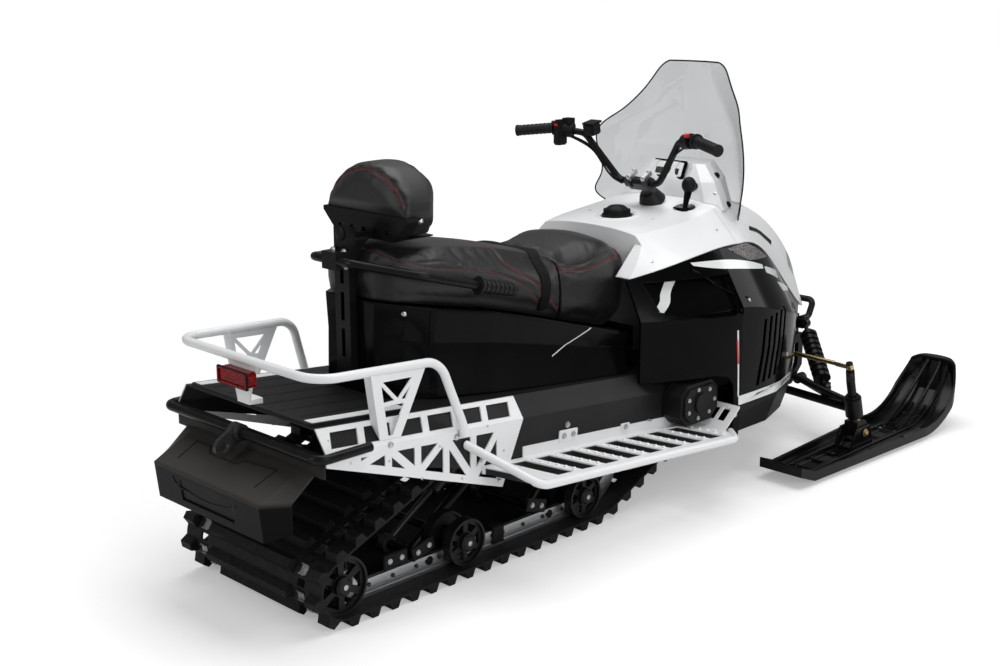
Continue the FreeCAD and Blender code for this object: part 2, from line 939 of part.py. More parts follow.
def skid_shocks():
    """Two dampers in the skid, each between eyes round the arms' cross shafts."""
    parts = []
    for low_x, y in ((front_arm_low_x, skid_shock_y), (rear_arm_low_x, -skid_shock_y)):
        low = V(low_x, y, arm_low_z)
        high = V(rear_arm_high_x, y, rear_arm_high_z)
        way = (high - low).normalize()
        middle = between(low, high, 1 / 2)
        pieces = [rod(low + way * arm_shaft_radius, middle, skid_shock_rod_radius),
                  rod(middle, high - way * skid_shock_eye * 2, skid_shock_radius),
                  rod(high - way * skid_shock_eye * 3, high - way * arm_shaft_radius, skid_shock_rod_radius)]
        for end in (low, high):
            eye = skid_shock_eye / 2
            pieces.append(cross_rod(end.x, end.z, y - eye, y + eye, arm_shaft_radius * 2))
        shape = fused(pieces)
        for end in (low, high):
            shape = shape.cut(cross_rod(end.x, end.z, y - overrun, y + overrun, arm_shaft_radius + running_gap))
        parts.append(shape)
    return parts


# The tunnel and what is bolted to its rear


def tunnel_outline(clear, low_z):
    """The folded section at the tunnel's rear, moved outwards by a clearance, down to a low edge."""
    slope = math.atan2(tunnel_chamfer, tunnel_half - tunnel_top_half)
    half = tunnel_half + clear
    top = tunnel_rear_top_z + clear
    shoulder = tunnel_rear_top_z - tunnel_chamfer + clear * (1 - math.sin(slope)) / math.cos(slope)
    top_half = tunnel_top_half + clear * math.tan(slope / 2)
    return [(-half, low_z), (-half, shoulder), (-top_half, top), (top_half, top), (half, shoulder), (half, low_z)]


def along_tunnel(outline, x_low, x_high):
    """A section pushed along the falling line of the tunnel."""
    drop = (x_low - tunnel_rear_x) * tunnel_fall_share
    length = x_high - x_low
    face = Part.Face(polygon([V(x_low, y, z - drop) for y, z in outline]))
    return face.extrude(V(length, 0, -length * tunnel_fall_share))


def tunnel():
    shape = along_tunnel(tunnel_outline(0.0, belt_inner_z), tunnel_rear_x, tunnel_front_x)
    hollow = tunnel_outline(-tunnel_wall, belt_inner_z - overrun)
    shape = shape.cut(along_tunnel(hollow, tunnel_rear_x - overrun, tunnel_front_x + overrun))
    below = -2 * tunnel_tail_z
    under = side_prism([
        (tunnel_rear_x - overrun, below),
        (tunnel_rear_x - overrun, tunnel_tail_z),
        (tunnel_rear_x, tunnel_tail_z),
        (board_rear_x, board_top(board_rear_x) - board_thickness),
        (tunnel_front_x + overrun, board_top(tunnel_front_x + overrun) - board_thickness),
        (tunnel_front_x + overrun, below),
    ], -tunnel_half - overrun, tunnel_half + overrun)
    shape = shape.cut(under)
    reach = tunnel_half + overrun
    return shape.cut(cross_rod(drive_x, drive_z, -reach, reach, drive_axle_radius + running_gap))


def above_tunnel(shape, clear):
    """Trims away what would lie inside the tunnel's folded top, or nearer to it than a clearance."""
    solid = along_tunnel(tunnel_outline(clear, 0.0), tunnel_rear_x - 2 * overrun, tunnel_front_x + 2 * overrun)
    return shape.cut(solid)


def dropped(x, drop):
    """A place in the side view, measured down from the tunnel's top."""
    return (x, tunnel_top(x) - drop)


def side_plate_right():
    """A lattice plate folded over the tunnel's shoulder, with a field of triangles and a row of slots."""
    rear, front, corner = tunnel_rear_x, side_plate_front_x, side_plate_corner_x
    low_rear = tunnel_top(rear) - side_plate_rear_low_z
    low_front = tunnel_top(corner) - side_plate_low_z
    fold = tunnel_chamfer
    outer = along_tunnel(tunnel_outline(side_plate_thickness, 0.0), rear, front)
    outer = outer.cut(along_tunnel(tunnel_outline(0.0, -overrun), rear - overrun, front + overrun))
    keep = side_prism([dropped(rear - overrun, 0.0), dropped(rear - overrun, low_rear), dropped(rear, low_rear),
                       (corner, side_plate_low_z), dropped(front, fold), dropped(front, 0.0)],
                      -tunnel_half - overrun, -tunnel_top_half)
    plate = outer.common(keep)
    rib = side_plate_rib
    cutters = []
    for index in range(plate_slots):
        pitch = (front - rear - 2 * rib) / plate_slots
        start = rear + rib + pitch * index
        slant = fold / 2
        slot = [dropped(start, fold - rib / 2), dropped(start + pitch - rib, fold - rib / 2),
                dropped(start + pitch - rib + slant / 2, rib / 2), dropped(start + slant / 2, rib / 2)]
        cutters.append(slot)
    top_drop = fold + rib / 2

    def edge(x, upper):
        along = (x - rear) / (corner - rear)
        return dropped(x, top_drop if upper else between(low_rear, low_front, along) - rib / 2)
    start = between(rear, corner, field_start_share)
    pitch = (corner - rib / 2 - start) / field_bays
    for index in range(field_bays):
        x0, x1 = start + pitch * index, start + pitch * (index + 1)
        a, b, c, d = edge(x0, True), edge(x1, True), edge(x1, False), edge(x0, False)
        if index % 2:
            cutters += [inset_outline([a, b, c], rib / 2), inset_outline([a, c, d], rib / 2)]
        else:
            cutters += [inset_outline([a, b, d], rib / 2), inset_outline([b, c, d], rib / 2)]
    solids = [side_prism(points, -tunnel_half - overrun, -tunnel_top_half / 2) for points in cutters]
    return plate.cut(Part.makeCompound(solids))


def deck_plate():
    """A flat deck over the tunnel's rear, with shallow grooves."""
    top = tunnel_rear_top_z
    outline = [(-deck_half, top), (deck_half, top), (deck_half, top + deck_thickness), (-deck_half, top + deck_thickness)]
    shape = along_tunnel(outline, tunnel_rear_x, deck_front_x)
    edges = [e for e in shape.Edges if abs(e.tangentAt(e.FirstParameter).z) > 1 - tunnel_fall_share]
    shape = shape.makeFillet(deck_thickness * 2, edges)
    pitch = 2 * deck_half / (deck_grooves + 1)
    depth = deck_thickness / 4
    for index in range(deck_grooves):
        y = -deck_half + pitch * (index + 1)
        groove = [(y - depth, top + deck_thickness - depth), (y + depth, top + deck_thickness - depth),
                  (y + depth, top + deck_thickness * 2), (y - depth, top + deck_thickness * 2)]
        inner_rear, inner_front = tunnel_rear_x + deck_thickness * 3, deck_front_x - deck_thickness * 3
        shape = shape.cut(along_tunnel(groove, inner_rear, inner_front))
    return shape


def plate_face():
    return tunnel_half + side_plate_thickness + seat_gap


def cargo_rack():
    """A bent tube that rises from the side plates and runs round the back of the deck."""
    foot_y = -plate_face() - rack_radius
    right = [
        V(rack_foot_x, foot_y, rack_foot_z - rack_radius * 3),
        V(rack_foot_x - rack_radius / 2, foot_y, rack_foot_z),
        V(rack_front_x, -rack_half, rack_front_z),
        V(rack_rear_x, -rack_rear_half, rack_rear_z),
    ]
    return tube(mirrored_run(right), rack_radius, rack_bend)


def rack_line(x):
    """Middle of the rack's side bar at a place along it."""
    share = (x - rack_front_x) / (rack_rear_x - rack_front_x)
    return between(rack_front_z, rack_rear_z, share)


def gusset_right():
    """A pierced plate between the rack's side bar and the side plate, with a flange along its rear edge."""
    y_low, y_high = -rack_half - gusset_thickness / 2, -rack_half + gusset_thickness / 2
    low_z = tunnel_top(gusset_low_rear_x) - tunnel_chamfer - rack_radius
    ring = [(gusset_top_rear_x, rack_line(gusset_top_rear_x)), (gusset_low_rear_x, low_z),
            (gusset_low_front_x, low_z), (gusset_top_front_x, rack_line(gusset_top_front_x))]
    plate = side_prism(ring, y_low, y_high)
    inner = inset_outline(ring, rack_radius * 2)
    (rx, rz), (lx, lz), (fx, fz), (tx, tz) = inner
    middle = ((rx + tx) / 2, between(rz, lz, gusset_split_share))
    holes = [[(rx, rz), (between(rx, lx, gusset_split_share), between(rz, lz, gusset_split_share)), middle],
             [(tx, tz), middle, (between(tx, fx, gusset_split_share), between(tz, fz, gusset_split_share))],
             [(rx, rz), middle, (tx, tz)],
             [(between(rx, lx, gusset_split_share), between(rz, lz, gusset_split_share)), (lx, lz), (fx, fz),
              (between(tx, fx, gusset_split_share), between(tz, fz, gusset_split_share))]]
    cutters = [side_prism(inset_outline(hole, gusset_rib), y_low - overrun, y_high + overrun) for hole in holes]
    plate = plate.cut(Part.makeCompound(cutters))
    flange = side_prism([ring[0], ring[1], (ring[1][0] + gusset_thickness, ring[1][1]),
                         (ring[0][0] + gusset_thickness, ring[0][1])], y_low, y_high + rack_radius * 2)
    shape = plate.fuse(flange)
    front = V(rack_front_x, -rack_half, rack_front_z)
    rear = V(rack_rear_x, -rack_rear_half, rack_rear_z)
    shape = shape.cut(rod(front, rear, rack_radius + seat_gap))
    above = side_prism([(rack_front_x, rack_line(rack_front_x)), (rack_rear_x, rack_line(rack_rear_x)),
                        (rack_rear_x, rack_rear_z * 2), (rack_front_x, rack_rear_z * 2)], -tunnel_half * 2, 0.0)
    shape = shape.cut(above)
    pieces = above_tunnel(shape, side_plate_thickness + seat_gap).Solids
    return max(pieces, key=lambda piece: piece.Volume)


def rack_plates():
    """The two gussets and the middle plate that carries the tail lamp."""
    top = rack_rear_z - rack_radius - seat_gap
    foot = tunnel_rear_top_z + deck_thickness + seat_gap
    x_low = rack_rear_x - gusset_thickness / 2
    x_high = rack_rear_x + gusset_thickness / 2
    x_foot = tunnel_rear_x + deck_thickness * 2
    face = [(-lamp_bracket_half, top), (-lamp_bracket_foot_half, foot + deck_thickness),
            (lamp_bracket_foot_half, foot + deck_thickness), (lamp_bracket_half, top)]
    plate = front_prism(face, x_low, x_high)
    slot = (top - foot) / 6
    for level in (1, 3):
        z = foot + slot * (level + 1)
        for side in (1, -1):
            y0, y1 = sorted((side * gusset_thickness, side * lamp_bracket_foot_half))
            plate = plate.cut(block(x_low - overrun, x_high + overrun, y0, y1, z, z + slot))
    tab = block(x_low, x_foot + deck_thickness * 2, -lamp_bracket_foot_half, lamp_bracket_foot_half,
                foot - deck_thickness, foot + deck_thickness + gusset_thickness)
    top_cut = along_tunnel([(-deck_half, 0.0), (deck_half, 0.0), (deck_half, foot), (-deck_half, foot)],
                           tunnel_rear_x - overrun, tunnel_front_x)
    middle = plate.fuse(tab).cut(top_cut).removeSplitter()
    return both(gusset_right()) + [middle]


def tail_lamp():
    """A lamp with a stepped lens, hung behind the middle plate."""
    top = rack_rear_z - rack_radius - lamp_drop
    x_high = rack_rear_x - gusset_thickness / 2 - seat_gap
    body = block(x_high - lamp_depth, x_high, -lamp_half, lamp_half, top - lamp_height, top)
    body = body.makeFillet(lamp_depth / 4, [e for e in body.Edges if abs(e.tangentAt(e.FirstParameter).x) > 1 / 2])
    rim = lamp_depth / 8
    rear = x_high - lamp_depth
    lens = block(rear - overrun, rear + rim, -lamp_half + rim, lamp_half - rim, top - lamp_height + rim, top - rim)
    return body.cut(lens)


def rear_bumper():
    y = plate_face() + bumper_radius
    right = [V(bumper_end_x, -y, bumper_z), V(bumper_rear_x, -y, bumper_z)]
    return tube(mirrored_run(right), bumper_radius, bumper_bend)


def snow_flap():
    """A moulded flap: a strip that closes the tunnel's end, a slope, and a face that folds down behind the track."""
    inner = tunnel_rear_x - seat_gap
    wall = flap_wall
    strip_top = tunnel_rear_top_z - tunnel_chamfer
    strip_low = tunnel_tail_z - overrun / 2

    def outline(y, top_x, top_z, crease_x, crease_z, low_x, low_z):
        ring = [(top_x, top_z), (crease_x, crease_z), (low_x, low_z), (low_x + wall, low_z),
                (crease_x + wall, crease_z - wall / 2), (top_x, top_z - wall * 2)]
        return polygon([V(x, y, z) for x, z in ring])
    main = (inner - wall, strip_low, flap_rear_x, flap_crease_z, flap_low_x, flap_low_z)
    side = (inner - wall, strip_low - wall, flap_side_x, flap_crease_z, flap_side_x, flap_low_z + wall * 4)
    wires = [outline(-flap_side_half, *side), outline(-flap_crease_half, *main),
             outline(flap_crease_half, *main), outline(flap_side_half, *side)]
    body = lofted(wires, True)
    half = tunnel_half
    strip = block(inner - wall, inner, -half, half, strip_low - wall * 2, strip_top)
    shape = fused([body, strip])
    panel = side_prism([(flap_low_x - overrun, flap_crease_z - flap_panel_drop),
                        (flap_low_x - overrun, flap_low_z + flap_panel_drop),
                        (flap_low_x + wall / 4, flap_low_z + flap_panel_drop),
                        (between(flap_rear_x, flap_low_x, flap_fold_share) + wall / 4, flap_crease_z - flap_panel_drop)],
                       -flap_crease_half / 2, flap_crease_half / 2)
    return shape.cut(panel)


def tow_hitch():
    """An eye plate clamped round the bumper's middle."""
    y = hitch_thickness / 2
    ring = bumper_radius + hitch_ring * 3 / 4
    eye = hitch_eye_radius + hitch_ring
    top = V(bumper_rear_x, 0, bumper_z)
    low = V(hitch_eye_x, 0, hitch_eye_z)
    way = (low - top).normalize()
    side = V(-way.z, 0, way.x)
    corners = [top + side * ring, low + side * eye, low - side * eye, top - side * ring]
    web = side_prism([(p.x, p.z) for p in corners], -y, y)
    clamp = cross_rod(top.x, top.z, -y * 3, y * 3, ring)
    shape = fused([web, clamp, cross_rod(low.x, low.z, -y, y, eye)])
    for place, radius in ((top, bumper_radius + running_gap), (low, hitch_eye_radius)):
        shape = shape.cut(cross_rod(place.x, place.z, -overrun, overrun, radius))
    return shape


# Running boards and toe plates


def board_outline():
    inner = -tunnel_half - seat_gap
    return [(board_rear_x, -board_outer_y), (board_rear_x - overrun, inner), (toe_foot_x, inner),
            (toe_foot_x, -board_outer_y + board_toe_in), (board_front_x, -board_outer_y)]


def on_board(x, y, lift):
    return V(x, y, board_top(x) + lift)


def running_board_right():
    """A pierced board with toothed rungs, an edge tube that curls up to the side plate, and a toe plate."""
    inner = -tunnel_half - seat_gap
    outer = -board_outer_y
    face = Part.Face(polygon([on_board(x, y, 0.0) for x, y in board_outline()]))
    shape = face.extrude(V(0, 0, -board_thickness))
    span = board_front_x - board_rear_x - 2 * board_bar
    pitch = span / board_windows
    y_low, y_high = outer + board_bar, inner - board_bar
    cutters = []
    teeth = []
    for index in range(board_windows):
        x = board_rear_x + board_bar + pitch * index
        slant = board_rung
        cutters.append(plan_prism([(x + slant, y_low), (x + pitch - board_rung + slant, y_low),
                                   (x + pitch - board_rung, y_high), (x, y_high)], 0.0, 2 * board_z_rear))
    shape = shape.cut(Part.makeCompound(cutters))
    run = (y_high - y_low) / board_teeth
    for index in range(board_windows):
        x_low = board_rear_x + board_bar + pitch * (index + 1) + board_rung / 2
        points = [(0.0, 0.0)]
        for tooth in range(board_teeth):
            points += [(tooth + 1 / 2, 2 * board_tooth), (tooth + 1.0, 0.0)]
        ring = []
        for step, rise in points:
            x = x_low - board_rung * step / board_teeth - board_tooth / 2
            ring.append(V(x, y_low + run * step, board_top(x_low) - board_tooth + rise))
        teeth.append(Part.Face(polygon(ring)).extrude(V(board_tooth, 0, 0)))
    flange = along_board(inner - flange_wall, inner, board_rear_x, toe_foot_x, board_tab_height)
    tabs = [flange]
    drop = board_tube_radius * 2 / 3
    tube_y = outer - board_tube_radius / 3
    foot = V(board_foot_x, -plate_face() + board_tube_radius, board_foot_z)
    run_points = [foot, V(board_rear_x - board_rung, tube_y, board_top(board_rear_x - board_rung) - drop),
                  V(board_front_x, tube_y, board_top(board_front_x) - drop),
                  V(toe_foot_x + board_bar, tube_y + board_toe_in, board_top(toe_foot_x + board_bar) - drop)]
    rail = tube(run_points, board_tube_radius, board_tube_bend)
    shape = fused([shape, rail] + teeth + tabs)
    plate_room = block(board_foot_x - overrun, side_plate_front_x + seat_gap, -plate_face(), 0.0, 0.0, rack_foot_z)
    return shape.cut(plate_room)


def along_board(y_low, y_high, x_low, x_high, height):
    """A wall that stands on the board's slope."""
    return side_prism([(x_low, board_top(x_low) - board_thickness), (x_high, board_top(x_high) - board_thickness),
                       (x_high, board_top(x_high) + height), (x_low, board_top(x_low) + height)], y_low, y_high)


def toe_plate_right():
    """The raised foot rest at the board's front end, with long slots."""
    inner, outer = -tunnel_half - seat_gap, -board_outer_y + board_toe_in
    start, end = toe_foot_x + seat_gap, toe_front_x
    low, high = board_top(start), board_top(start) + toe_rise / 2
    wall = flange_wall * 2
    plate = side_prism([(start, low), (end, high), (end, high - wall), (start, low - wall)], outer, inner)
    foot = block(start, start + wall, outer, inner, low - board_thickness, low)
    cutters = []
    pitch = (inner - outer - board_bar) / toe_slots
    for index in range(toe_slots):
        y = outer + board_bar + pitch * index
        cutters.append(block(start + board_bar, end - board_bar / 2, y, y + pitch - board_bar / 2, 0.0, 2 * high))
    return fused([plate, foot]).cut(Part.makeCompound(cutters))


# Moulded shapes are lofts through sections; each table gives shares of the sizes named beside it

# Along the seat base: share of its length, half width as a share of base_half, top as a rise over the tunnel
base_stations = [
    (0.0, 0.40, 1.0), (0.07, 0.62, 0.985), (0.15, 0.80, 0.965), (0.37, 0.91, 0.89),
    (0.58, 0.96, 0.765), (0.78, 0.985, 0.63), (1.0, 1.0, 0.50),
]
base_rise = seat_top_z - tunnel_rear_top_z - seat_depth
base_waist_share = 0.93
base_foot_share = 1.0
base_waist_rise_share = 0.62
base_edge_share = 0.86

# Along the seat: share of its length, half width and top as shares of seat_half and seat_top_z
seat_stations = [
    (0.0, 0.48, 0.965), (0.045, 0.76, 0.996), (0.13, 0.93, 1.004), (0.30, 1.0, 0.985),
    (0.50, 0.97, 0.945), (0.655, 0.92, 0.908), (0.70, 0.92, 0.906), (0.82, 0.92, 0.930),
    (0.93, 0.86, 0.921), (1.0, 0.78, 0.892),
]
seat_lip = 14.0
seat_low_share = 0.9
seat_crown_share = 0.62
seat_crown = 20.0
seat_nose_rise = 52.0


def smooth_ring(x, half_points, bend_from):
    """A closed section: straight below, then one smooth curve over the top from side to side."""
    right = [V(x, -y, z) for y, z in half_points]
    left = [V(x, y, z) for y, z in reversed(half_points) if y > 0]
    points = right + left
    edges = []
    last = len(points) - 1
    for index in range(bend_from):
        edges.append(Part.LineSegment(points[index], points[index + 1]).toShape())
    curve = Part.BSplineCurve()
    curve.interpolate(points[bend_from:last - bend_from + 1])
    edges.append(curve.toShape())
    for index in range(last - bend_from, last):
        edges.append(Part.LineSegment(points[index], points[index + 1]).toShape())
    edges.append(Part.LineSegment(points[-1], points[0]).toShape())
    return Part.Wire(edges)


def base_top(x):
    """Height of the seat base's top edge, straight between its stations."""
    share = (x - base_rear_x) / (base_side_x - base_rear_x)
    share = max(0.0, min(1.0, share))
    for (s0, _, r0), (s1, _, r1) in zip(base_stations, base_stations[1:]):
        if s0 <= share <= s1:
            return tunnel_top(x) + base_rise * between(r0, r1, (share - s0) / (s1 - s0))
    return tunnel_top(x)


def seat_base():
    """The moulded cover that carries the seat over the tunnel."""
    wires = []
    for share, half_share, rise_share in base_stations:
        x = between(base_rear_x, base_side_x, share)
        half = base_half * half_share
        top = tunnel_top(x) + base_rise * rise_share
        low = tunnel_top(x) - tunnel_chamfer
        waist = between(tunnel_top(x), top, base_waist_rise_share)
        points = [(half * base_foot_share, low), (half * base_foot_share, tunnel_top(x)),
                  (half * base_waist_share, waist), (half, top - base_ledge), (half, top)]
        wires.append(polygon([V(x, -y, z) for y, z in points] + [V(x, y, z) for y, z in reversed(points)]))
    body = lofted(wires, True)
    half = base_half * base_edge_share - overrun / 2
    step_top = base_top(base_side_x) - base_ledge
    step = block(base_side_x - base_ledge, base_front_x, -half, half, tunnel_top(base_front_x) - tunnel_chamfer, step_top)
    shape = fused([body, step])
    shape = shape.cut(base_flutes())
    return above_tunnel(shape, seat_gap)


def base_flutes():
    """A slanting groove on each flank, and two upright grooves in the rear face."""
    depth = base_ledge
    rear = base_rear_x
    low = tunnel_top(rear) + base_rise / 5
    high = tunnel_top(rear) + base_rise * base_waist_rise_share
    inner = base_half * base_stations[0][1] / 2
    parts = []
    for side in (1, -1):
        y0, y1 = sorted((side * inner, side * (inner + depth)))
        parts.append(block(rear - depth, rear + depth / 2, y0, y1, low, high))
    return Part.makeCompound(parts)


def seat_whole():
    wires = []
    for share, half_share, top_share in seat_stations:
        x = between(seat_rear_x, seat_front_x, share)
        half = seat_half * half_share
        top = seat_top_z * top_share
        low = base_top(x) - seat_lip
        if x > base_side_x:
            low = base_top(base_side_x) - seat_lip + seat_nose_rise * (x - base_side_x) / (seat_front_x - base_side_x)
        points = [(half * seat_low_share, low), (half, low + seat_edge_radius),
                  (half, top - seat_crown - seat_edge_radius), (half * seat_low_share, top - seat_crown),
                  (half * seat_crown_share, top - seat_crown / 3), (0.0, top)]
        wires.append(smooth_ring(x, points, 1))
    return lofted(wires)


def raised_base(clear):
    """The seat base's outline with a clearance over it, for cutting what sits on it."""
    wires = []
    half = base_half
    places = [(base_rear_x - overrun, base_top(base_rear_x))]
    for share, _, rise_share in base_stations:
        x = between(base_rear_x, base_side_x, share)
        places.append((x, tunnel_top(x) + base_rise * rise_share))
    for x, z in places:
        top = z + clear
        wires.append(polygon([V(x, -half, 0.0), V(x, half, 0.0), V(x, half, top), V(x, -half, top)]))
    top = base_top(base_side_x) + clear
    front = block(base_side_x - overrun / 4, seat_front_x + overrun, -half, half, 0.0, top - base_ledge)
    return lofted(wires, True).fuse(front)


def seat_parts():
    """The two cushions, split where the strap crosses."""
    whole = seat_whole().cut(raised_base(seat_gap))
    half = 2 * seat_half
    rear = block(seat_rear_x - overrun, seat_split_x - running_gap, -half, half, 0.0, 2 * seat_top_z)
    front = block(seat_split_x, seat_front_x + overrun, -half, half, 0.0, 2 * seat_top_z)
    return largest(whole.common(rear)), largest(whole.common(front))


def largest(shape):
    return max(shape.Solids, key=lambda piece: piece.Volume)


def seat_passenger():
    return seat_parts()[0]


def seat_rider():
    return seat_parts()[1]


def seat_strap():
    """A strap over the join of the two cushions."""
    x_low, x_high = seat_split_x - strap_width / 2, seat_split_x + strap_width / 2
    share = (seat_split_x - seat_rear_x) / (seat_front_x - seat_rear_x)
    tops = [s[2] for s in seat_stations if abs(s[0] - share) < strap_reach_share]
    halves = [s[1] for s in seat_stations if abs(s[0] - share) < strap_reach_share]
    half, top, low = seat_half * max(halves), seat_top_z * max(tops), base_top(seat_split_x) + seat_lip
    thick = strap_thickness

    def outline(grow):
        points = [(half + grow, low), (half + grow, top - seat_crown - seat_edge_radius),
                  (half * seat_low_share + grow, top - seat_crown + grow),
                  (half * seat_crown_share, top - seat_crown / 3 + grow), (0.0, top + grow)]
        return Part.Face(smooth_ring(x_low, points, 1)).extrude(V(x_high - x_low, 0, 0))
    shape = outline(thick + seat_gap).cut(outline(seat_gap))
    body = seat_whole()
    shape = shape.cut(body)
    return largest(shape)


# Backrest and grab handle


def backrest_frame():
    """A slotted box post on the seat base's rear face, with a cradle under the pad."""
    x_low, x_high = base_rear_x - seat_gap - post_depth, base_rear_x - seat_gap
    post = block(x_low, x_high, -post_half, post_half, post_low_z, post_top_z)
    span = (post_top_z - post_low_z) / post_slots
    for index in range(post_slots - 1):
        z = post_low_z + span * (index + 1 / 2)
        half = post_slot_width / 2
        post = post.cut(block(x_low - overrun, x_low + post_wall, -half, half, z, z + post_slot_length))
    hollow = block(x_low + post_wall, x_high - post_wall, -post_half + post_wall, post_half - post_wall,
                   post_low_z + post_wall, post_top_z - post_wall)
    post = post.cut(hollow)
    wall = cradle_wall
    low, high = cradle_low_z, cradle_top_z
    rear = pad_rear_x - seat_gap - wall
    arm = block(x_high - post_wall, rear + wall, -post_half, post_half, low - wall, low + post_wall)
    plate = pad_room(wall + seat_gap, high).cut(pad_room(seat_gap, high + overrun))
    window = block(pad_rear_x + pad_half / 4, pad_front_x + overrun, -2 * pad_half, 2 * pad_half, low, high + overrun)
    plate = plate.cut(window)
    slot_half = pad_half / cradle_slots / 2
    slots = []
    for index in range(cradle_slots):
        y = -pad_half + 2 * pad_half * (index + 1 / 2) / cradle_slots
        slots.append(block(rear - overrun, rear + overrun, y - slot_half, y + slot_half, low + wall * 3, low + wall * 6))
    plate = plate.cut(Part.makeCompound(slots[1:-1]))
    floor = largest(plate)
    brace = side_prism([(x_high - post_wall, post_top_z - post_wall), (x_high - post_wall, low - overrun),
                        (rear + wall, low - wall), (rear + wall, low)], -post_half / 2, post_half / 2)
    return fused([post, arm, floor, brace])


def pad_room(grow, z_high):
    """The backrest pad's room: flat at the rear, round at its front corners, drawn in at its low ones."""
    half, low, cut = pad_half + grow, cradle_low_z - grow, pad_low_corner
    rear, front = pad_rear_x - grow, pad_front_x + grow
    corner = (pad_front_x - pad_rear_x) * pad_corner_share
    shape = block(rear, front, -half, half, low, z_high)
    edges = [e for e in shape.Edges if e.BoundBox.XMin > (rear + front) / 2 and e.BoundBox.YLength < half
             and e.BoundBox.XLength < half / 2 and e.BoundBox.ZLength > cut]
    shape = shape.makeFillet(corner + grow, edges)
    outline = [(-half + cut, low), (half - cut, low), (half, low + cut), (half, z_high), (-half, z_high),
               (-half, low + cut)]
    return shape.common(front_prism(outline, rear, front))


def backrest_pad():
    """A cushion with a domed top edge."""
    middle = (cradle_low_z + pad_top_z) / 2
    shape = pad_room(0.0, pad_top_z).common(pad_dome(pad_half * pad_dome_share))
    edges = [e for e in shape.Edges if e.BoundBox.ZMin > middle]
    return shape.makeFillet(pad_round, edges)


def pad_dome(radius):
    """A lying cylinder whose crown is the pad's top line."""
    centre_z = pad_top_z - radius
    return rod(V(pad_rear_x - overrun, 0, centre_z), V(pad_front_x + overrun, 0, centre_z), radius)


def grab_handle():
    """A tube round the back of the seat, clamped to the post, with a ribbed grip on each end."""
    right = [V(grab_grip_x, -grab_grip_half, grab_grip_z), V(grab_front_x, -grab_front_half, grab_front_z),
             V(grab_corner_x, -grab_corner_half, grab_corner_z), V(grab_rear_x, -grab_rear_half, grab_rear_z)]
    bar = tube(mirrored_run(right), grab_radius, grab_bend)
    x_high = base_rear_x - post_depth - 2 * seat_gap
    clamp = block(grab_rear_x - grab_radius, x_high, -post_half, post_half,
                  grab_rear_z - grab_radius * 2, grab_rear_z + grab_radius * 2)
    return fused([bar, clamp])


def grab_grip_right():
    end = V(grab_grip_x, -grab_grip_half, grab_grip_z)
    start = V(grab_front_x, -grab_front_half, grab_front_z)
    way = (end - start).normalize()
    begin = end - way * grab_grip_length
    parts = [rod(begin, end + way * grab_rib, grab_grip_radius),
             rod(begin - way * flange_thickness, begin, flange_radius)]
    pitch = grab_grip_length / (grab_ribs + 1)
    for index in range(grab_ribs):
        place = begin + way * pitch * (index + 1)
        parts.append(rod(place, place + way * pitch / 2, grab_grip_radius + grab_rib))
    shape = fused(parts)
    return shape.cut(rod(begin - way * overrun, end + way * seat_gap, grab_radius + seat_gap))


# Along the front body: share of its length, then the crease, the widest line and the crown
# as shares of cowl_half and cowl_height: crease half, crease z, widest half, widest z, crown z
cowl_stations = [
    (0.0, 0.558, 0.800, 0.698, 0.665, 0.930),
    (0.117, 0.698, 0.837, 0.884, 0.665, 0.953),
    (0.278, 0.756, 0.870, 1.0, 0.676, 0.972),
    (0.376, 0.728, 0.866, 0.995, 0.654, 0.998),
    (0.469, 0.674, 0.851, 0.965, 0.621, 1.0),
    (0.630, 0.563, 0.741, 0.802, 0.554, 0.951),
    (0.781, 0.479, 0.582, 0.530, 0.488, 0.834),
    (0.912, 0.349, 0.488, 0.353, 0.443, 0.665),
    (1.0, 0.167, 0.455, 0.172, 0.438, 0.505),
]
shoulder_half_share = 0.66
shoulder_rise_share = 0.86
crown_half_share = 0.36
crown_rise_share = 0.97

# Along the belly pan: share of its length, half width of its floor and the floor's height
pan_stations = [(0.0, 0.93, 188.0), (0.40, 0.884, 176.0), (0.74, 0.72, 165.0), (1.0, 0.46, 166.0)]
sill_rise_share = 0.056

arch_outline = [
    (-0.10, 1.0), (0.19, 1.0), (0.235, 0.965), (0.252, 0.90), (0.257, 0.80), (0.257, 0.0), (-0.10, 0.0),
]
pocket_outline = [(0.03, 0.985), (0.30, 0.985), (0.285, 0.815), (0.16, 0.825), (0.05, 0.86)]
lens_outline = [(0.16, 0.66), (0.33, 0.625), (0.36, 0.675), (0.30, 0.72), (0.17, 0.73)]
nose_light_x = nose_x - nose_light_back


def cowl_at(x):
    """The front body's sizes at a place, straight between its stations."""
    share = max(0.0, min(1.0, (x - cowl_rear_x) / cowl_length))
    for first, second in zip(cowl_stations, cowl_stations[1:]):
        if first[0] <= share <= second[0]:
            part = (share - first[0]) / (second[0] - first[0])
            sizes = [between(a, b, part) for a, b in zip(first[1:], second[1:])]
            scales = (cowl_half, cowl_height, cowl_half, cowl_height, cowl_height)
            return [size * scale for size, scale in zip(sizes, scales)]


def cowl_places(x_low, x_high):
    inner = [cowl_rear_x + s[0] * cowl_length for s in cowl_stations]
    return [x_low] + [x for x in inner if x_low + overrun / 4 < x < x_high - overrun / 4] + [x_high]


def crown_section(x, inset, floor_drop):
    """The front body's section above its creases."""
    crease_half, crease_z, _, _, crown = cowl_at(x)
    rise = crown - crease_z
    shoulder = (crease_half * shoulder_half_share - inset / 2, crease_z + rise * shoulder_rise_share - inset)
    points = [(crease_half - inset, crease_z - floor_drop), shoulder,
              (crease_half * crown_half_share, crease_z + rise * crown_rise_share - inset), (0.0, crown - inset)]
    return smooth_ring(x, points, 1)


def crown_body(x_low, x_high, inset, floor_drop):
    return lofted([crown_section(x, inset, floor_drop) for x in cowl_places(x_low, x_high)])


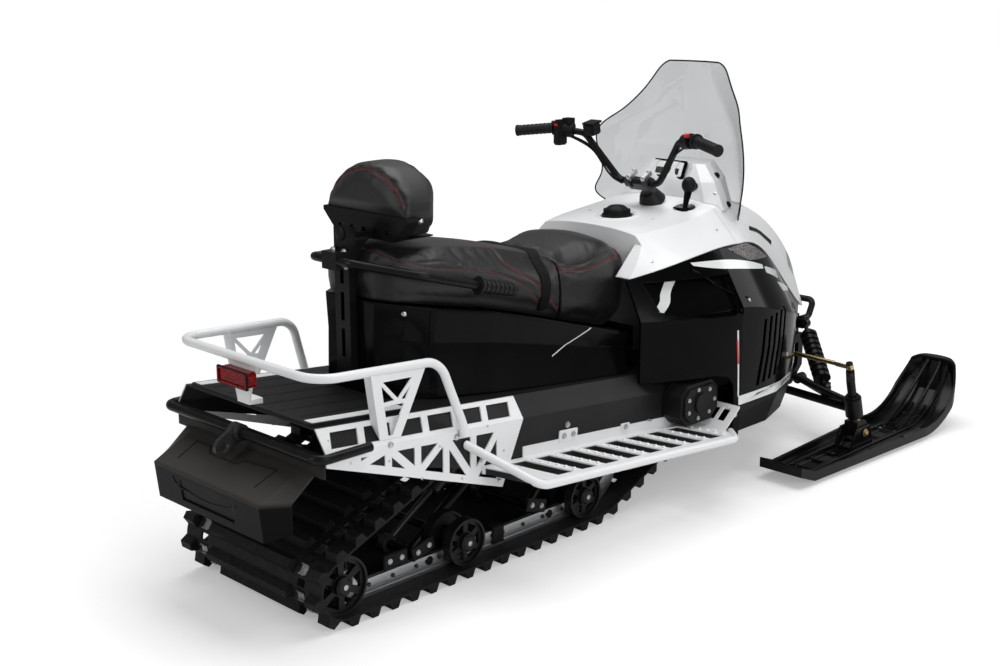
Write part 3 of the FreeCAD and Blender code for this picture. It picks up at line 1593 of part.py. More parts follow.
def clear_of_crown(shape, clear):
    """Trims away what would lie in the hood or the console, or nearer to them than a clearance."""
    nose = cowl_rear_x + cowl_length
    for x_low, x_high in ((console_tail_x, console_split_x + panel_gap), (console_split_x, nose)):
        body = crown_body(x_low, x_high, -clear, clear)
        shape = shape.cut(body)
        body.translate(V(0, 0, -clear))
        shape = shape.cut(body)
    return largest(shape)


def console_whole():
    return crown_body(console_tail_x, console_split_x - panel_gap, 0.0, 0.0)


def console():
    """The solid cover over the tank, with arms beside the seat's nose and pockets for what stands in it."""
    shape = console_whole()
    half = seat_half * console_seat_share
    seat_room = block(console_tail_x - overrun, console_rear_x, -half, half, 0.0, 2 * cowl_height)
    tail_low = cowl_at(console_tail_x)[1]
    slope = side_prism([(console_tail_x - overrun, tail_low), (console_tail_x, tail_low),
                        (console_rear_x, cowl_at(console_rear_x)[4] - cap_height), (console_rear_x, 2 * cowl_height),
                        (console_tail_x - overrun, 2 * cowl_height)], -cowl_half, cowl_half)
    shape = shape.cut(seat_room).cut(slope)
    axis, base = column_axis(), V(column_x, 0, column_z)
    shape = shape.cut(rod(base - axis * (column_length + seat_gap), base + axis * column_length, column_radius + running_gap))
    cap_z = cowl_at(cap_x)[4] - cap_sink
    shape = shape.cut(rod(V(cap_x, 0, cap_z), V(cap_x, 0, 2 * cowl_height), cap_radius + cap_ring))
    well_z = console_surface(lever_x, lever_y) - cap_sink
    shape = shape.cut(rod(V(lever_x, -lever_y, well_z), V(lever_x, -lever_y, 2 * cowl_height), lever_plate_radius + running_gap))
    return largest(shape)


def console_surface(x, y):
    """Height of the console's skin over a place."""
    line = Part.makeLine(V(x, -y, 0.0), V(x, -y, 2 * cowl_height))
    return console_whole().common(line).BoundBox.ZMax


def fuel_cap():
    """A domed cap in its round recess."""
    floor = cowl_at(cap_x)[4] - cap_sink + seat_gap
    body = rod(V(cap_x, 0, floor), V(cap_x, 0, floor + cap_height), cap_radius)
    top = [e for e in body.Edges if e.BoundBox.ZMin > floor + cap_height / 2 and e.Closed]
    body = body.makeFillet(cap_height * cap_round_share, top)
    lip = rod(V(cap_x, 0, floor), V(cap_x, 0, floor + cap_height / 4), cap_radius + cap_ring / 2)
    return body.fuse(lip).removeSplitter()


def shift_lever():
    """A ball knob on a tapered stem that stands in a round plate."""
    floor = console_surface(lever_x, lever_y) - cap_sink + seat_gap
    foot = V(lever_x, -lever_y, floor)
    top = foot + V(lever_length * lever_lean_share, 0, lever_length)
    plate = rod(foot, foot + V(0, 0, cap_sink), lever_plate_radius)
    stem = cone(foot + V(0, 0, cap_sink / 2), top, lever_radius, lever_radius * 2)
    return fused([plate, stem, Part.makeSphere(knob_radius, top + V(0, 0, knob_radius / 2))])


def hood_whole():
    """The hood as a shell closed at its nose."""
    nose = cowl_rear_x + cowl_length
    outer = crown_body(console_split_x, nose, 0.0, 0.0)
    inner = crown_body(console_split_x - overrun / 2, nose - nose_wall * 3, cowl_wall, overrun)
    return largest(outer.cut(inner))


def lens_prism(grow):
    ring = [(-y * cowl_half, z * cowl_height) for y, z in lens_outline]
    if grow:
        ring = inset_outline(ring, grow)
    return front_prism(ring, nose_light_x, cowl_rear_x + cowl_length)


def hood():
    cut = lens_prism(0.0)
    return largest(hood_whole().cut(cut).cut(mirrored(cut)))


def headlamps():
    """Two lenses that lie flush in the hood's nose."""
    return both(largest(hood_whole().common(lens_prism(running_gap))))


def sill(x):
    """Height of the front panel's lower edge."""
    return sill_z + (x - panel_split_x) * sill_rise_share


def flank(x_low, x_high, near, far, low_of):
    """A strip of the right flank between two depths under the skin."""
    wires = []
    for x in cowl_places(x_low, x_high):
        crease_half, crease_z, wide_half, wide_z, _ = cowl_at(x)
        top = crease_z - panel_gap
        points = [(crease_half - near, top), (wide_half - near, wide_z), (wide_half - near, low_of(x)),
                  (wide_half - far, low_of(x)), (wide_half - far, wide_z), (crease_half - far, top)]
        wires.append(polygon([V(x, -y, z) for y, z in points]))
    return lofted(wires)


def outline_prism(outline, z_scale, grow):
    """A side outline given in shares of the front body's length and of a height."""
    ring = [(cowl_rear_x + s * cowl_length, z * z_scale) for s, z in outline]
    if grow:
        ring = inset_outline(ring, -grow)
    return side_prism(ring, -2 * cowl_half, 0.0)


def side_panel_right():
    """The rear flank with its foot-well arch, a pillar before it and a pocket sunk in its top."""
    low = lambda x: pan_stations[0][2]
    end = panel_split_x - panel_gap
    skin = flank(cowl_rear_x, end, 0.0, cowl_wall, low)
    wall = cowl_wall
    pocket_z = cowl_height * pocket_height_share
    tray = flank(cowl_rear_x, end, 0.0, pocket_depth + wall, low)
    tray = tray.common(outline_prism(pocket_outline, pocket_z, wall))
    sunk = flank(cowl_rear_x - overrun / 6, end + overrun / 6, -wall, pocket_depth, low)
    sunk = sunk.common(outline_prism(pocket_outline, pocket_z, 0.0))
    shape = skin.fuse(tray).cut(sunk).removeSplitter()
    shape = shape.cut(outline_prism(arch_outline, panel_low_z, 0.0))
    return clear_of_crown(largest(shape), seat_gap)


def vent_cutters():
    cutters = []
    for index in range(vent_count):
        x = vent_start_x + vent_pitch * index
        low = vent_low_z + vent_step * index
        high = low + vent_height
        mid = (low + high) / 2
        lean = vent_lean
        kink = vent_width / 2
        cutters.append(side_prism([
            (x, low), (x + vent_width, low), (x + vent_width + lean / 2 + kink, mid), (x + vent_width + lean, high),
            (x + lean, high), (x + lean / 2 + kink, mid)], -2 * cowl_half, 0.0))
    return Part.makeCompound(cutters)


def front_panel_right():
    """The front flank with its slanting vents."""
    shape = flank(panel_split_x, front_panel_x, 0.0, cowl_wall, sill)
    nose = side_prism([(front_panel_x - front_panel_lean, 0.0), (front_panel_x, cowl_at(front_panel_x)[1]),
                       (front_panel_x, 2 * cowl_height), (front_panel_x + overrun, 2 * cowl_height),
                       (front_panel_x + overrun, 0.0)], -2 * cowl_half, 0.0)
    return clear_of_crown(largest(shape.cut(nose).cut(vent_cutters())), seat_gap)


def belly_pan():
    """The tub under the engine, closed at its front by the bulkhead's face."""
    def section(share, floor_share, floor_z, inset, lift):
        x = between(panel_split_x, frame_rear_x - seat_gap, share)
        wide = cowl_at(x)[2]
        top = sill(x) - panel_gap + (overrun if inset else 0.0)
        return x, [(wide - inset, top), (wide - inset, sill(x) - panel_gap - lift), (cowl_half * floor_share - inset, floor_z + inset)]

    def wires(inset, ends):
        out = []
        for share, floor_share, floor_z in pan_stations:
            x, points = section(share, floor_share, floor_z, inset, pan_lip)
            if share == 0.0:
                x -= ends
            if share == 1.0:
                x -= inset
            out.append(polygon([V(x, -y, z) for y, z in points] + [V(x, y, z) for y, z in reversed(points)]))
        return out
    outer = lofted(wires(0.0, 0.0), True)
    inner = lofted(wires(pan_wall, overrun), True)
    shape = outer.cut(inner)
    clear = seat_gap
    for side in (1, -1):
        y0, y1 = sorted((side * (beam_y - beam_width / 2 - clear), side * (beam_y + beam_width / 2 + clear)))
        shape = shape.cut(block(engine_front_x, frame_rear_x, y0, y1, beam_low_z - clear,
                                beam_low_z + beam_height + clear))
    return largest(shape)


def above_crown(shape):
    """Keeps what stands on the hood and the console, and trims it a fit's width off their skins."""
    nose = cowl_rear_x + cowl_length
    for x_low, x_high in ((console_tail_x, console_split_x + panel_gap), (console_split_x, nose)):
        body = crown_body(x_low, x_high, 0.0, 0.0)
        body.translate(V(0, 0, seat_gap))
        shape = shape.cut(body)
    return largest(shape)


def dash_pod():
    """The instrument housing before the screen, with a sunken dial and a lip."""
    def plan(outline, z, half, x_low, x_high):
        ring = [V(between(x_low, x_high, s), -y * half, z) for s, y in outline]
        ring += [V(p.x, -p.y, z) for p in reversed(ring)]
        return polygon(ring)
    low = plan(pod_outline, pod_low_z, pod_base_half, pod_rear_x, pod_front_x)
    rim = plan(pod_outline, pod_rim_z, pod_base_half * pod_rim_share, pod_rear_x + pod_step, pod_front_x)
    top = plan(pod_outline, pod_top_z, pod_top_half, pod_rear_x + 2 * pod_step, pod_front_x - pod_step)
    shape = lofted([low, rim, top], True)
    lean = V(-pod_step, 0, pod_top_z - pod_rim_z)
    middle = V(pod_rear_x + 2 * pod_step, 0, (pod_rim_z + pod_top_z) / 2)
    facing = V(-(pod_top_z - pod_rim_z), 0, pod_step).normalize()
    for side in (1, -1):
        place = middle + V(0, side * gauge_radius * gauge_apart_share, 0)
        shape = shape.cut(rod(place - facing * gauge_depth / 2, place + facing * overrun, gauge_radius))
    return above_crown(shape)


def screen_path(z, half, side_x, sweep, shift):
    """The screen's line at a height: flat in the middle, bent softly, with wings swept back."""
    middle_x = side_x + sweep
    flat = half * screen_flat_share
    points = mirrored_run([V(side_x - shift, -half, z), V(middle_x - shift, -flat, z)])
    return bent_path(points, screen_bend)


def windshield():
    """A bent clear screen that stands on the hood."""
    wires = []
    for rise, half_share, back_share, sweep_share in screen_stations:
        z = between(screen_low_z, screen_top_z, rise)
        half = screen_half * half_share
        side_x = screen_side_x + screen_lean * back_share
        sweep = screen_depth * sweep_share
        front = screen_path(z, half, side_x, sweep, 0.0)
        rear = screen_path(z, half, side_x, sweep, screen_thickness)
        ends = [(V(side_x, -half, z), V(side_x - screen_thickness, -half, z)),
                (V(side_x - screen_thickness, half, z), V(side_x, half, z))]
        edges = front.Edges + rear.Edges + [Part.LineSegment(a, b).toShape() for a, b in ends]
        wires.append(Part.Wire(Part.__sortEdges__(edges)))
    return above_crown(lofted(wires))


# Bulkhead, front suspension, knuckles and skis


def king_foot():
    return V(kingpin_foot_x, -ski_y, kingpin_foot_z)


def king_axis():
    return V(kingpin_top_x - kingpin_foot_x, 0, kingpin_top_z - kingpin_foot_z).normalize()


def king_place(share):
    return between(king_foot(), V(kingpin_top_x, -ski_y, kingpin_top_z), share)


def frame_side():
    return frame_half + arm_boss_radius + seat_gap


def front_frame():
    """The bulkhead with its shock towers, and two beams back to the tunnel's end."""
    rear, front = frame_rear_x, frame_front_x
    nose = (front - rear) / 4
    body = side_prism([(rear, frame_low_z), (front - nose, frame_low_z), (front, frame_low_z + nose),
                       (front, frame_top_z), (rear, frame_top_z)], -frame_half, frame_half)
    web = frame_web
    ring = [(rear + web, frame_low_z + web), (front - nose, frame_low_z + web), (front - web, frame_low_z + nose),
            (front - web, frame_top_z - web), (rear + web, frame_top_z - web)]
    body = body.cut(side_prism(ring, -frame_half + web / 2, frame_half - web / 2))
    window = inset_outline(ring, web)
    body = body.cut(side_prism(window, -frame_half - overrun, frame_half + overrun))
    tower = side_prism([(tower_rear_x - web, frame_top_z - web / 2), (front, frame_top_z - web / 2), (front, tower_z),
                        (tower_rear_x, tower_z)], -tower_half, tower_half)
    ears = []
    for x in (shock_top_x - shock_ear_gap - shock_ear, shock_top_x + shock_ear_gap):
        for side in (1, -1):
            y0, y1 = sorted((side * (tower_half - web), side * (shock_top_y + shock_pin_radius / 2)))
            ears.append(block(x, x + shock_ear, y0, y1, shock_top_z - shock_eye_radius, shock_top_z + shock_eye_radius))
    reach = shock_ear_gap + shock_ear / 2
    for side in (1, -1):
        place = V(shock_top_x, side * shock_top_y, shock_top_z)
        ears.append(rod(place - V(reach, 0, 0), place + V(reach, 0, 0), shock_pin_radius))
    start = tunnel_front_x + seat_gap
    beams = [block(start, start + beam_width, -tunnel_half, tunnel_half, beam_low_z, beam_low_z + beam_height)]
    for side in (1, -1):
        y0, y1 = sorted((side * (beam_y - beam_width / 2), side * (beam_y + beam_width / 2)))
        beams.append(block(start, rear + web / 2, y0, y1, beam_low_z, beam_low_z + beam_height))
    wing = beam_y + beam_width / 2
    beams.append(block(rear, rear + web / 2, -wing, wing, beam_low_z, beam_low_z + beam_height))
    return fused([body, tower] + ears + beams)


def engine_block():
    low = beam_low_z + beam_height + seat_gap
    return block(engine_rear_x, engine_front_x, -engine_half, engine_half, low, engine_top_z)


def front_arms_right():
    """Two lower tubes, one upper rod and the bored carrier at their outer end, as one welded piece."""
    side = -frame_side()
    low_out = king_place(housing_low_share) + king_axis() * lower_arm_radius * 3 / 2
    high_out = king_place(housing_high_share) - king_axis() * upper_arm_radius * 2
    pieces = [rod(king_place(housing_low_share), king_place(housing_high_share), housing_radius)]
    boss = V(arm_boss_radius, 0, 0)
    for x in (lower_pivot_rear_x, lower_pivot_front_x):
        pivot = V(x, side, lower_pivot_z)
        pieces.append(rod(pivot, low_out, lower_arm_radius))
        pieces.append(rod(pivot - boss, pivot + boss, arm_boss_radius))
    pivot = V(upper_pivot_x, side, upper_pivot_z)
    pieces.append(rod(pivot, high_out, upper_arm_radius))
    pieces.append(rod(pivot - boss, pivot + boss, arm_boss_radius))
    x_low = shock_low_x - shock_ear_gap - shock_ear
    x_high = shock_low_x + shock_ear_gap + shock_ear
    y0, y1 = -shock_low_y - shock_eye_radius * 2 / 3, -shock_low_y + shock_pin_radius / 2
    z_low = lower_pivot_z - lower_arm_radius
    for x in (x_low, x_high - shock_ear):
        pieces.append(block(x, x + shock_ear, y0, y1, z_low, shock_low_z + shock_eye_radius))
    pieces.append(block(x_low - lower_arm_radius, x_high + lower_arm_radius, y0, y1, z_low, z_low + lower_arm_radius))
    middle = V(shock_low_x, -shock_low_y, shock_low_z)
    reach = V(shock_ear_gap + shock_ear / 2, 0, 0)
    pieces.append(rod(middle - reach, middle + reach, shock_pin_radius))
    shape = fused(pieces)
    bore = rod(king_foot() - king_axis() * overrun, king_place(1.0) + king_axis() * overrun, spindle_radius + running_gap)
    return shape.cut(bore)


def front_shock_right():
    """A coil-over damper between the arm's pin and the tower's pin."""
    low = V(shock_low_x, -shock_low_y, shock_low_z)
    high = V(shock_top_x, -shock_top_y, shock_top_z)
    way = (high - low).normalize()
    length = (high - low).Length
    eye = V(shock_ear_gap - seat_gap, 0, 0)
    pieces = [rod(low - eye, low + eye, shock_eye_radius), rod(high - eye, high + eye, shock_eye_radius)]
    start, end = low + way * shock_eye_radius / 2, high - way * shock_eye_radius / 2
    pieces.append(rod(start, end, shock_rod_radius))
    pieces.append(rod(between(low, high, 1 / 2), high - way * shock_eye_radius * 5 / 2, shock_body_radius))
    first, last = shock_eye_radius * 5 / 2, length - shock_eye_radius * 7 / 2
    pitch = (last - first) / shock_coils
    for index in range(shock_coils + 1):
        place = low + way * (first + pitch * index)
        pieces.append(rod(place - way * shock_wire_radius, place + way * shock_wire_radius, shock_coil_radius))
    pieces.append(rod(low + way * first, low + way * last, shock_coil_radius - shock_wire_radius))
    shape = fused(pieces)
    for place in (low, high):
        shape = shape.cut(rod(place - eye * 2, place + eye * 2, shock_pin_radius + running_gap))
    return shape


def ball_place():
    axis = king_axis()
    ahead = V(axis.z, 0, -axis.x)
    return king_place(1.0) + ahead * steer_arm_length + V(0, steer_arm_in, 0)


def spindle_right():
    """The king post with its collars, the steering arm on its top and the foot that the ski is bolted to."""
    axis = king_axis()
    foot, top = king_foot(), king_place(1.0)
    collar = spindle_radius + collar_step
    pieces = [rod(foot - axis * foot_height / 2, top, spindle_radius)]
    high = king_place(housing_high_share) + axis * running_gap
    low = king_place(housing_low_share) - axis * running_gap
    pieces.append(rod(high, high + axis * steer_arm_thickness, collar))
    pieces.append(rod(low - axis * steer_arm_thickness, low, collar))
    ball = ball_place()
    side = (ball - top).normalize().cross(axis) * steer_arm_half
    ring = polygon([top + side, ball + side, ball - side, top - side])
    face = Part.Face(ring)
    pieces.append(face.extrude(axis * -steer_arm_thickness))
    for place in (top, ball):
        pieces.append(rod(place - axis * steer_arm_thickness, place, steer_arm_half))
    pieces.append(rod(top - axis * steer_arm_thickness, top + axis * ball_gap, spindle_radius))
    pieces.append(rod(ball - axis * steer_arm_thickness, ball + axis * (tie_rod_end_length + 2 * ball_gap), tie_pin_radius))
    pieces.append(rod(ball + axis * (tie_rod_end_length + ball_gap), ball + axis * (tie_rod_end_length + 2 * ball_gap),
                      tie_pin_radius * 2))
    half = ski_saddle_half - ski_saddle_wall - running_gap
    x, z = kingpin_foot_x, ski_bolt_z
    pieces.append(side_prism([(x - half, z - ski_bolt_radius * 2), (x + half * 2, z - ski_bolt_radius * 2),
                              (x + half * 2, z + ski_bolt_radius), (x + half, foot.z), (x - half, foot.z)],
                             -ski_y - half, -ski_y + half))
    shape = fused(pieces)
    bore = cross_rod(x + half / 2, z, -ski_y - overrun, -ski_y + overrun, ski_bolt_radius + running_gap)
    return shape.cut(bore)


def tie_rod_right():
    """A rod with an eye on the knuckle's pin; the link to the middle is left open."""
    axis, ball = king_axis(), ball_place()
    middle = ball + axis * (tie_rod_end_length / 2 + ball_gap)
    reach = axis * (tie_rod_end_length / 2)
    inner = V(middle.x + tie_rod_lead, -tie_rod_inner_y, tie_rod_inner_z)
    way = (inner - middle).normalize()
    pieces = [rod(middle - reach, middle + reach, tie_rod_end_radius),
              rod(middle + way * tie_rod_end_radius / 2, inner, tie_rod_radius),
              rod(middle + way * tie_rod_end_radius, middle + way * tie_rod_end_radius * 4, tie_rod_radius + ski_rib),
              Part.makeSphere(tie_rod_end_radius, inner)]
    return fused(pieces).cut(rod(middle - reach * 2, middle + reach * 2, tie_pin_radius + running_gap))


def ski_profile(low, high):
    """The runner seen from the side, between two heights over its sole, curled up at the tip."""
    sole = ski_sole_z
    flat, tip = ski_flat_front_x, ski_tip_x
    rise = ski_tip_z - sole
    radius = ((tip - flat) ** 2 + rise ** 2) / (2 * rise)
    turn = math.asin((tip - flat) / radius)
    centre_z = sole + radius
    heel = ski_heel_length

    def place(angle, lift):
        return V(flat + (radius - lift) * math.sin(angle), 0, centre_z - (radius - lift) * math.cos(angle))
    edges = []
    a, b, c = V(ski_tail_x, 0, sole + ski_heel_rise + low), V(ski_tail_x + heel, 0, sole + low), place(0.0, low)
    edges += [Part.LineSegment(a, b).toShape(), Part.LineSegment(b, c).toShape()]
    edges.append(Part.Arc(place(0.0, low), place(turn / 2, low), place(turn, low)).toShape())
    edges.append(Part.LineSegment(place(turn, low), place(turn, high)).toShape())
    edges.append(Part.Arc(place(turn, high), place(turn / 2, high), place(0.0, high)).toShape())
    d, e = V(ski_tail_x + heel, 0, sole + high), V(ski_tail_x, 0, sole + ski_heel_rise + high)
    edges += [Part.LineSegment(place(0.0, high), d).toShape(), Part.LineSegment(d, e).toShape(),
              Part.LineSegment(e, a).toShape()]
    return Part.Face(Part.Wire(edges))


def ski_slab(low, high, y_low, y_high):
    slab = ski_profile(low, high).extrude(V(0, y_high - y_low, 0))
    slab.translate(V(0, y_low, 0))
    return slab


def ski_plan(inset):
    """The runner seen from above, rounded at its tip."""
    tail, front = ski_tail_half - inset, ski_half - inset
    end = ski_tip_x - inset
    turn_x = ski_flat_front_x + ski_turn_length
    right = [V(ski_tail_x + inset, -ski_y - tail, 0), V(ski_flat_front_x, -ski_y - front, 0), V(turn_x, -ski_y - front, 0)]
    left = [V(p.x, -2 * ski_y - p.y, 0) for p in reversed(right)]
    nose = Part.Arc(right[-1], V(end, -ski_y, 0), left[0]).toShape()
    edges = [Part.LineSegment(p, q).toShape() for p, q in zip(right, right[1:])] + [nose]
    edges += [Part.LineSegment(p, q).toShape() for p, q in zip(left, left[1:])]
    edges.append(Part.LineSegment(left[-1], right[0]).toShape())
    plan = Part.Face(Part.Wire(edges)).extrude(V(0, 0, 2 * ski_tip_z))
    return plan.common(ski_front(inset))


def ski_front(inset):
    """The runner seen from its front, with round corners at the tip's top."""
    half, top, corner = ski_half - inset, ski_tip_z - inset, ski_tip_corner
    shape = block(ski_tail_x - overrun, ski_tip_x + overrun, -ski_y - half, -ski_y + half, -overrun, top)
    edges = [e for e in shape.Edges if e.BoundBox.ZMin > top / 2 and e.BoundBox.YLength < half]
    return shape.makeFillet(corner, edges)


def ski_right():
    """A runner with a raised rim, two long ribs with rungs between them, a keel, and a saddle with its bolt."""
    reach = 2 * ski_half
    outer, inner = ski_plan(0.0), ski_plan(ski_wall)
    floor = ski_slab(0.0, ski_wall, -ski_y - reach, -ski_y + reach).common(outer)
    rim = ski_slab(0.0, ski_lip, -ski_y - reach, -ski_y + reach).common(outer.cut(inner))
    pieces = [floor, rim]
    width = ski_rib_width
    for side in (1, -1):
        y = -ski_y + side * ski_rib_y
        pieces.append(ski_slab(ski_rib, ski_wall + ski_rib_height, y - width / 2, y + width / 2).common(inner))
    rungs = []
    span = ski_flat_front_x + ski_turn_length - ski_tail_x
    for index in range(ski_rungs):
        x = ski_tail_x + span * (index + 1 / 2) / ski_rungs
        rungs.append(block(x, x + width / 2, -ski_y - ski_rib_y, -ski_y + ski_rib_y, 0.0, 2 * ski_tip_z))
    layer = ski_slab(ski_rib, ski_wall + ski_rib_height / 2, -ski_y - ski_rib_y, -ski_y + ski_rib_y)
    pieces.append(layer.common(Part.makeCompound(rungs)))
    keel_front = ski_flat_front_x - ski_saddle_half
    pieces.append(side_prism([(ski_tail_x + ski_saddle_length, ski_sole_z + ski_rib), (ski_tail_x + ski_saddle_length * 4 / 3, 0.0),
                              (keel_front - ski_saddle_length / 2, 0.0), (keel_front, ski_sole_z + ski_rib)],
                             -ski_y - ski_keel_width / 2, -ski_y + ski_keel_width / 2))
    x0, x1 = kingpin_foot_x - ski_saddle_length / 2, kingpin_foot_x + ski_saddle_length / 2
    low = ski_sole_z + ski_rib
    for side in (1, -1):
        y0, y1 = sorted((side * (ski_saddle_half - ski_saddle_wall), side * ski_saddle_half))
        wall = side_prism([(x0, low), (x1, low), (x1 - ski_saddle_half / 2, ski_saddle_z),
                           (x1 - ski_saddle_half, ski_bolt_z + ski_bolt_radius * 2),
                           (x0 + ski_saddle_half, ski_bolt_z + ski_bolt_radius * 2), (x0 + ski_saddle_half / 2, ski_saddle_z)],
                          -ski_y + y0, -ski_y + y1)
        pieces.append(wall)
    half = ski_saddle_half - ski_saddle_wall - running_gap
    bolt_reach = ski_saddle_half + ski_bolt_radius / 2
    pieces.append(cross_rod(kingpin_foot_x + half / 2, ski_bolt_z, -ski_y - bolt_reach, -ski_y + bolt_reach, ski_bolt_radius))
    shape = fused([solid for piece in pieces for solid in piece.Solids])
    x = ski_tip_x - ski_handle_length - ski_wall
    slot = block(x, x + ski_handle_length / 2, -ski_y - ski_handle_half * 2, -ski_y + ski_handle_half * 2, 0.0, 2 * ski_tip_z)
    return largest(shape.cut(slot))


def front_bumper():
    """A bent bar that hooks up before the nose."""
    y = nose_bar_half
    x0 = frame_front_x + seat_gap
    right = [V(x0, -y, nose_bar_low_z), V(nose_bar_x - overrun / 2, -y, nose_bar_low_z),
             V(nose_bar_x, -y, nose_bar_top_z)]
    return tube(mirrored_run(right), nose_bar_radius, nose_bar_bend)


def drive_case():
    """The cover over the drive's gears, low in the foot well, with a round boss and ribs."""
    y1 = -tunnel_half - flange_wall - 2 * seat_gap
    y0 = y1 - case_depth
    middle = ((case_rear_x + case_front_x) / 2, (case_low_z + case_top_z) / 2)
    corner = (case_top_z - case_low_z) / 4
    ring = [(case_rear_x + corner, case_low_z), (case_front_x - corner, case_low_z), (case_front_x, case_low_z + corner),
            (case_front_x, case_top_z - corner), (case_front_x - corner, case_top_z), (case_rear_x + corner, case_top_z),
            (case_rear_x, case_top_z - corner), (case_rear_x, case_low_z + corner)]
    body = side_prism(ring, y0 + case_step, y1)
    step = side_prism(inset_outline(ring, case_step), y0 + case_step / 2, y0 + case_step)
    boss = cross_rod(middle[0], middle[1], y0, y0 + case_step, corner)
    shape = fused([body, step, boss])
    reach = tunnel_half + case_depth / 2
    bore = cross_rod(drive_x, drive_z, -reach, 0.0, drive_axle_radius + running_gap)
    return shape.cut(bore)


# Steering column, handlebar and what is fixed to it


def column_axis():
    lean = math.radians(column_lean_deg)
    return V(-math.sin(lean), 0, math.cos(lean))


def steering_column():
    """The post, its riser block and the two clamps that hold the bar."""
    axis, base = column_axis(), V(column_x, 0, column_z)
    post = rod(base - axis * column_length, base + axis * column_head, column_radius)
    head = base + axis * column_head
    ahead = V(axis.z, 0, -axis.x)
    pieces = [post]
    clamp = V(clamp_x, 0, clamp_z)
    ring = [head - ahead * clamp_reach, head + ahead * clamp_reach / 2, clamp + ahead * clamp_reach, clamp - ahead * clamp_reach / 2]
    width = clamp_y + clamp_width / 2
    pieces.append(side_prism([(p.x, p.z) for p in ring], -width, width))
    for side in (1, -1):
        y0, y1 = sorted((side * (clamp_y - clamp_width / 2), side * width))
        pieces.append(cross_rod(clamp_x, clamp_z, y0, y1, bar_radius + clamp_wall))
    shape = fused(pieces)
    return shape.cut(cross_rod(clamp_x, clamp_z, -overrun, overrun, bar_radius + running_gap))


def steering_boot():
    """A folded rubber boot where the column enters the console."""
    axis, base = column_axis(), V(column_x, 0, column_z)
    floor = base + axis * -boot_drop
    rings = []
    for index in range(boot_folds):
        share = index / boot_folds
        low = floor + axis * boot_height * share
        high = floor + axis * boot_height * (index + 1) / boot_folds
        radius = between(boot_half, column_radius * 2, share)
        rings.append(cone(low, high, radius, radius - boot_half / boot_folds / 2))
    shape = fused(rings)
    shape = above_crown(shape)
    bore = rod(base - axis * column_length, base + axis * column_length, column_radius + running_gap)
    return largest(shape.cut(bore))


def bar_points():
    grip_end, grip_start, elbow = grip_place(1.0), grip_place(0.0), V(elbow_x, -elbow_y, elbow_z)
    end = grip_end + (grip_start - grip_end).normalize() * grip_wall
    return [end, grip_start, elbow, V(clamp_x, -bar_foot_y, clamp_z)]


def grip_place(share):
    return between(V(grip_inner_x, -grip_inner_y, grip_inner_z), V(grip_outer_x, -grip_outer_y, grip_outer_z), share)


def handlebar():
    """The bent bar."""
    return tube(mirrored_run(bar_points()), bar_radius, bar_bend)


def grip_right():
    start, end = grip_place(0.0), grip_place(1.0)
    along = (end - start).normalize()
    begin = start + along * control_start
    pieces = [rod(begin, end, grip_radius), rod(begin, begin + along * grip_wall, grip_flange_radius),
              rod(end - along * grip_wall, end, grip_radius + grab_rib)]
    pitch = (end - begin).Length / (grip_rings + 1)
    for index in range(grip_rings):
        place = begin + along * pitch * (index + 1)
        pieces.append(rod(place, place + along * pitch / 2, grip_radius + grab_rib / 2))
    shape = fused(pieces)
    return shape.cut(rod(start, end - along * (grip_wall - seat_gap), bar_radius + running_gap))


def control_block(side, extra):
    """A switch housing clamped on the bar beside a grip, with a lever and a fluid box or a thumb lever."""
    start, elbow = grip_place(0.0), V(elbow_x, -elbow_y, elbow_z)
    way = (elbow - start).normalize()
    grip_way = (grip_place(1.0) - start).normalize()
    low = start + way * control_gap
    high = low + way * control_length
    pieces = [rod(low, high, control_radius)]
    pivot = between(low, high, 1 / 2)
    ahead = V(1, 0, 0)
    up = ahead.cross(way).normalize()
    up = up if up.z > 0 else up * -1.0
    ahead = way.cross(up).normalize()
    ahead = ahead if ahead.x > 0 else ahead * -1.0
    knuckle = pivot + ahead * (control_radius + lever_blade)
    pieces.append(rod(pivot, knuckle, lever_blade * 2))
    tip = knuckle + grip_way * extra
    pieces.append(rod(knuckle - grip_way * lever_blade, tip, lever_blade))
    pieces.append(Part.makeSphere(lever_blade * 3 / 2, tip))
    if side > 0:
        corner = pivot + up * (control_radius - lever_blade)
        pieces.append(Part.makeBox(control_length * 3 / 4, control_length * 3 / 4, control_length / 2,
                                   corner - V(control_length, control_length, 0) * (3 / 8)))
    shape = fused(pieces)
    shape = shape.cut(rod(start - way * overrun, elbow, bar_radius + running_gap))
    return shape if side < 0 else mirrored(shape)


def bar_controls():
    return [control_block(1, brake_lever_length), control_block(-1, throttle_lever_length)]


def road_wheels():
    return [wheel_set(x, z, rail_wheel_radius) for x, z in axle_places()[1:]]


def rear_idlers():
    return wheel_set(rear_axle_x, rear_axle_z, rear_idler_radius)


def running_boards():
    return both(running_board_right()) + both(toe_plate_right())


def pair(make):
    return lambda: both(make())


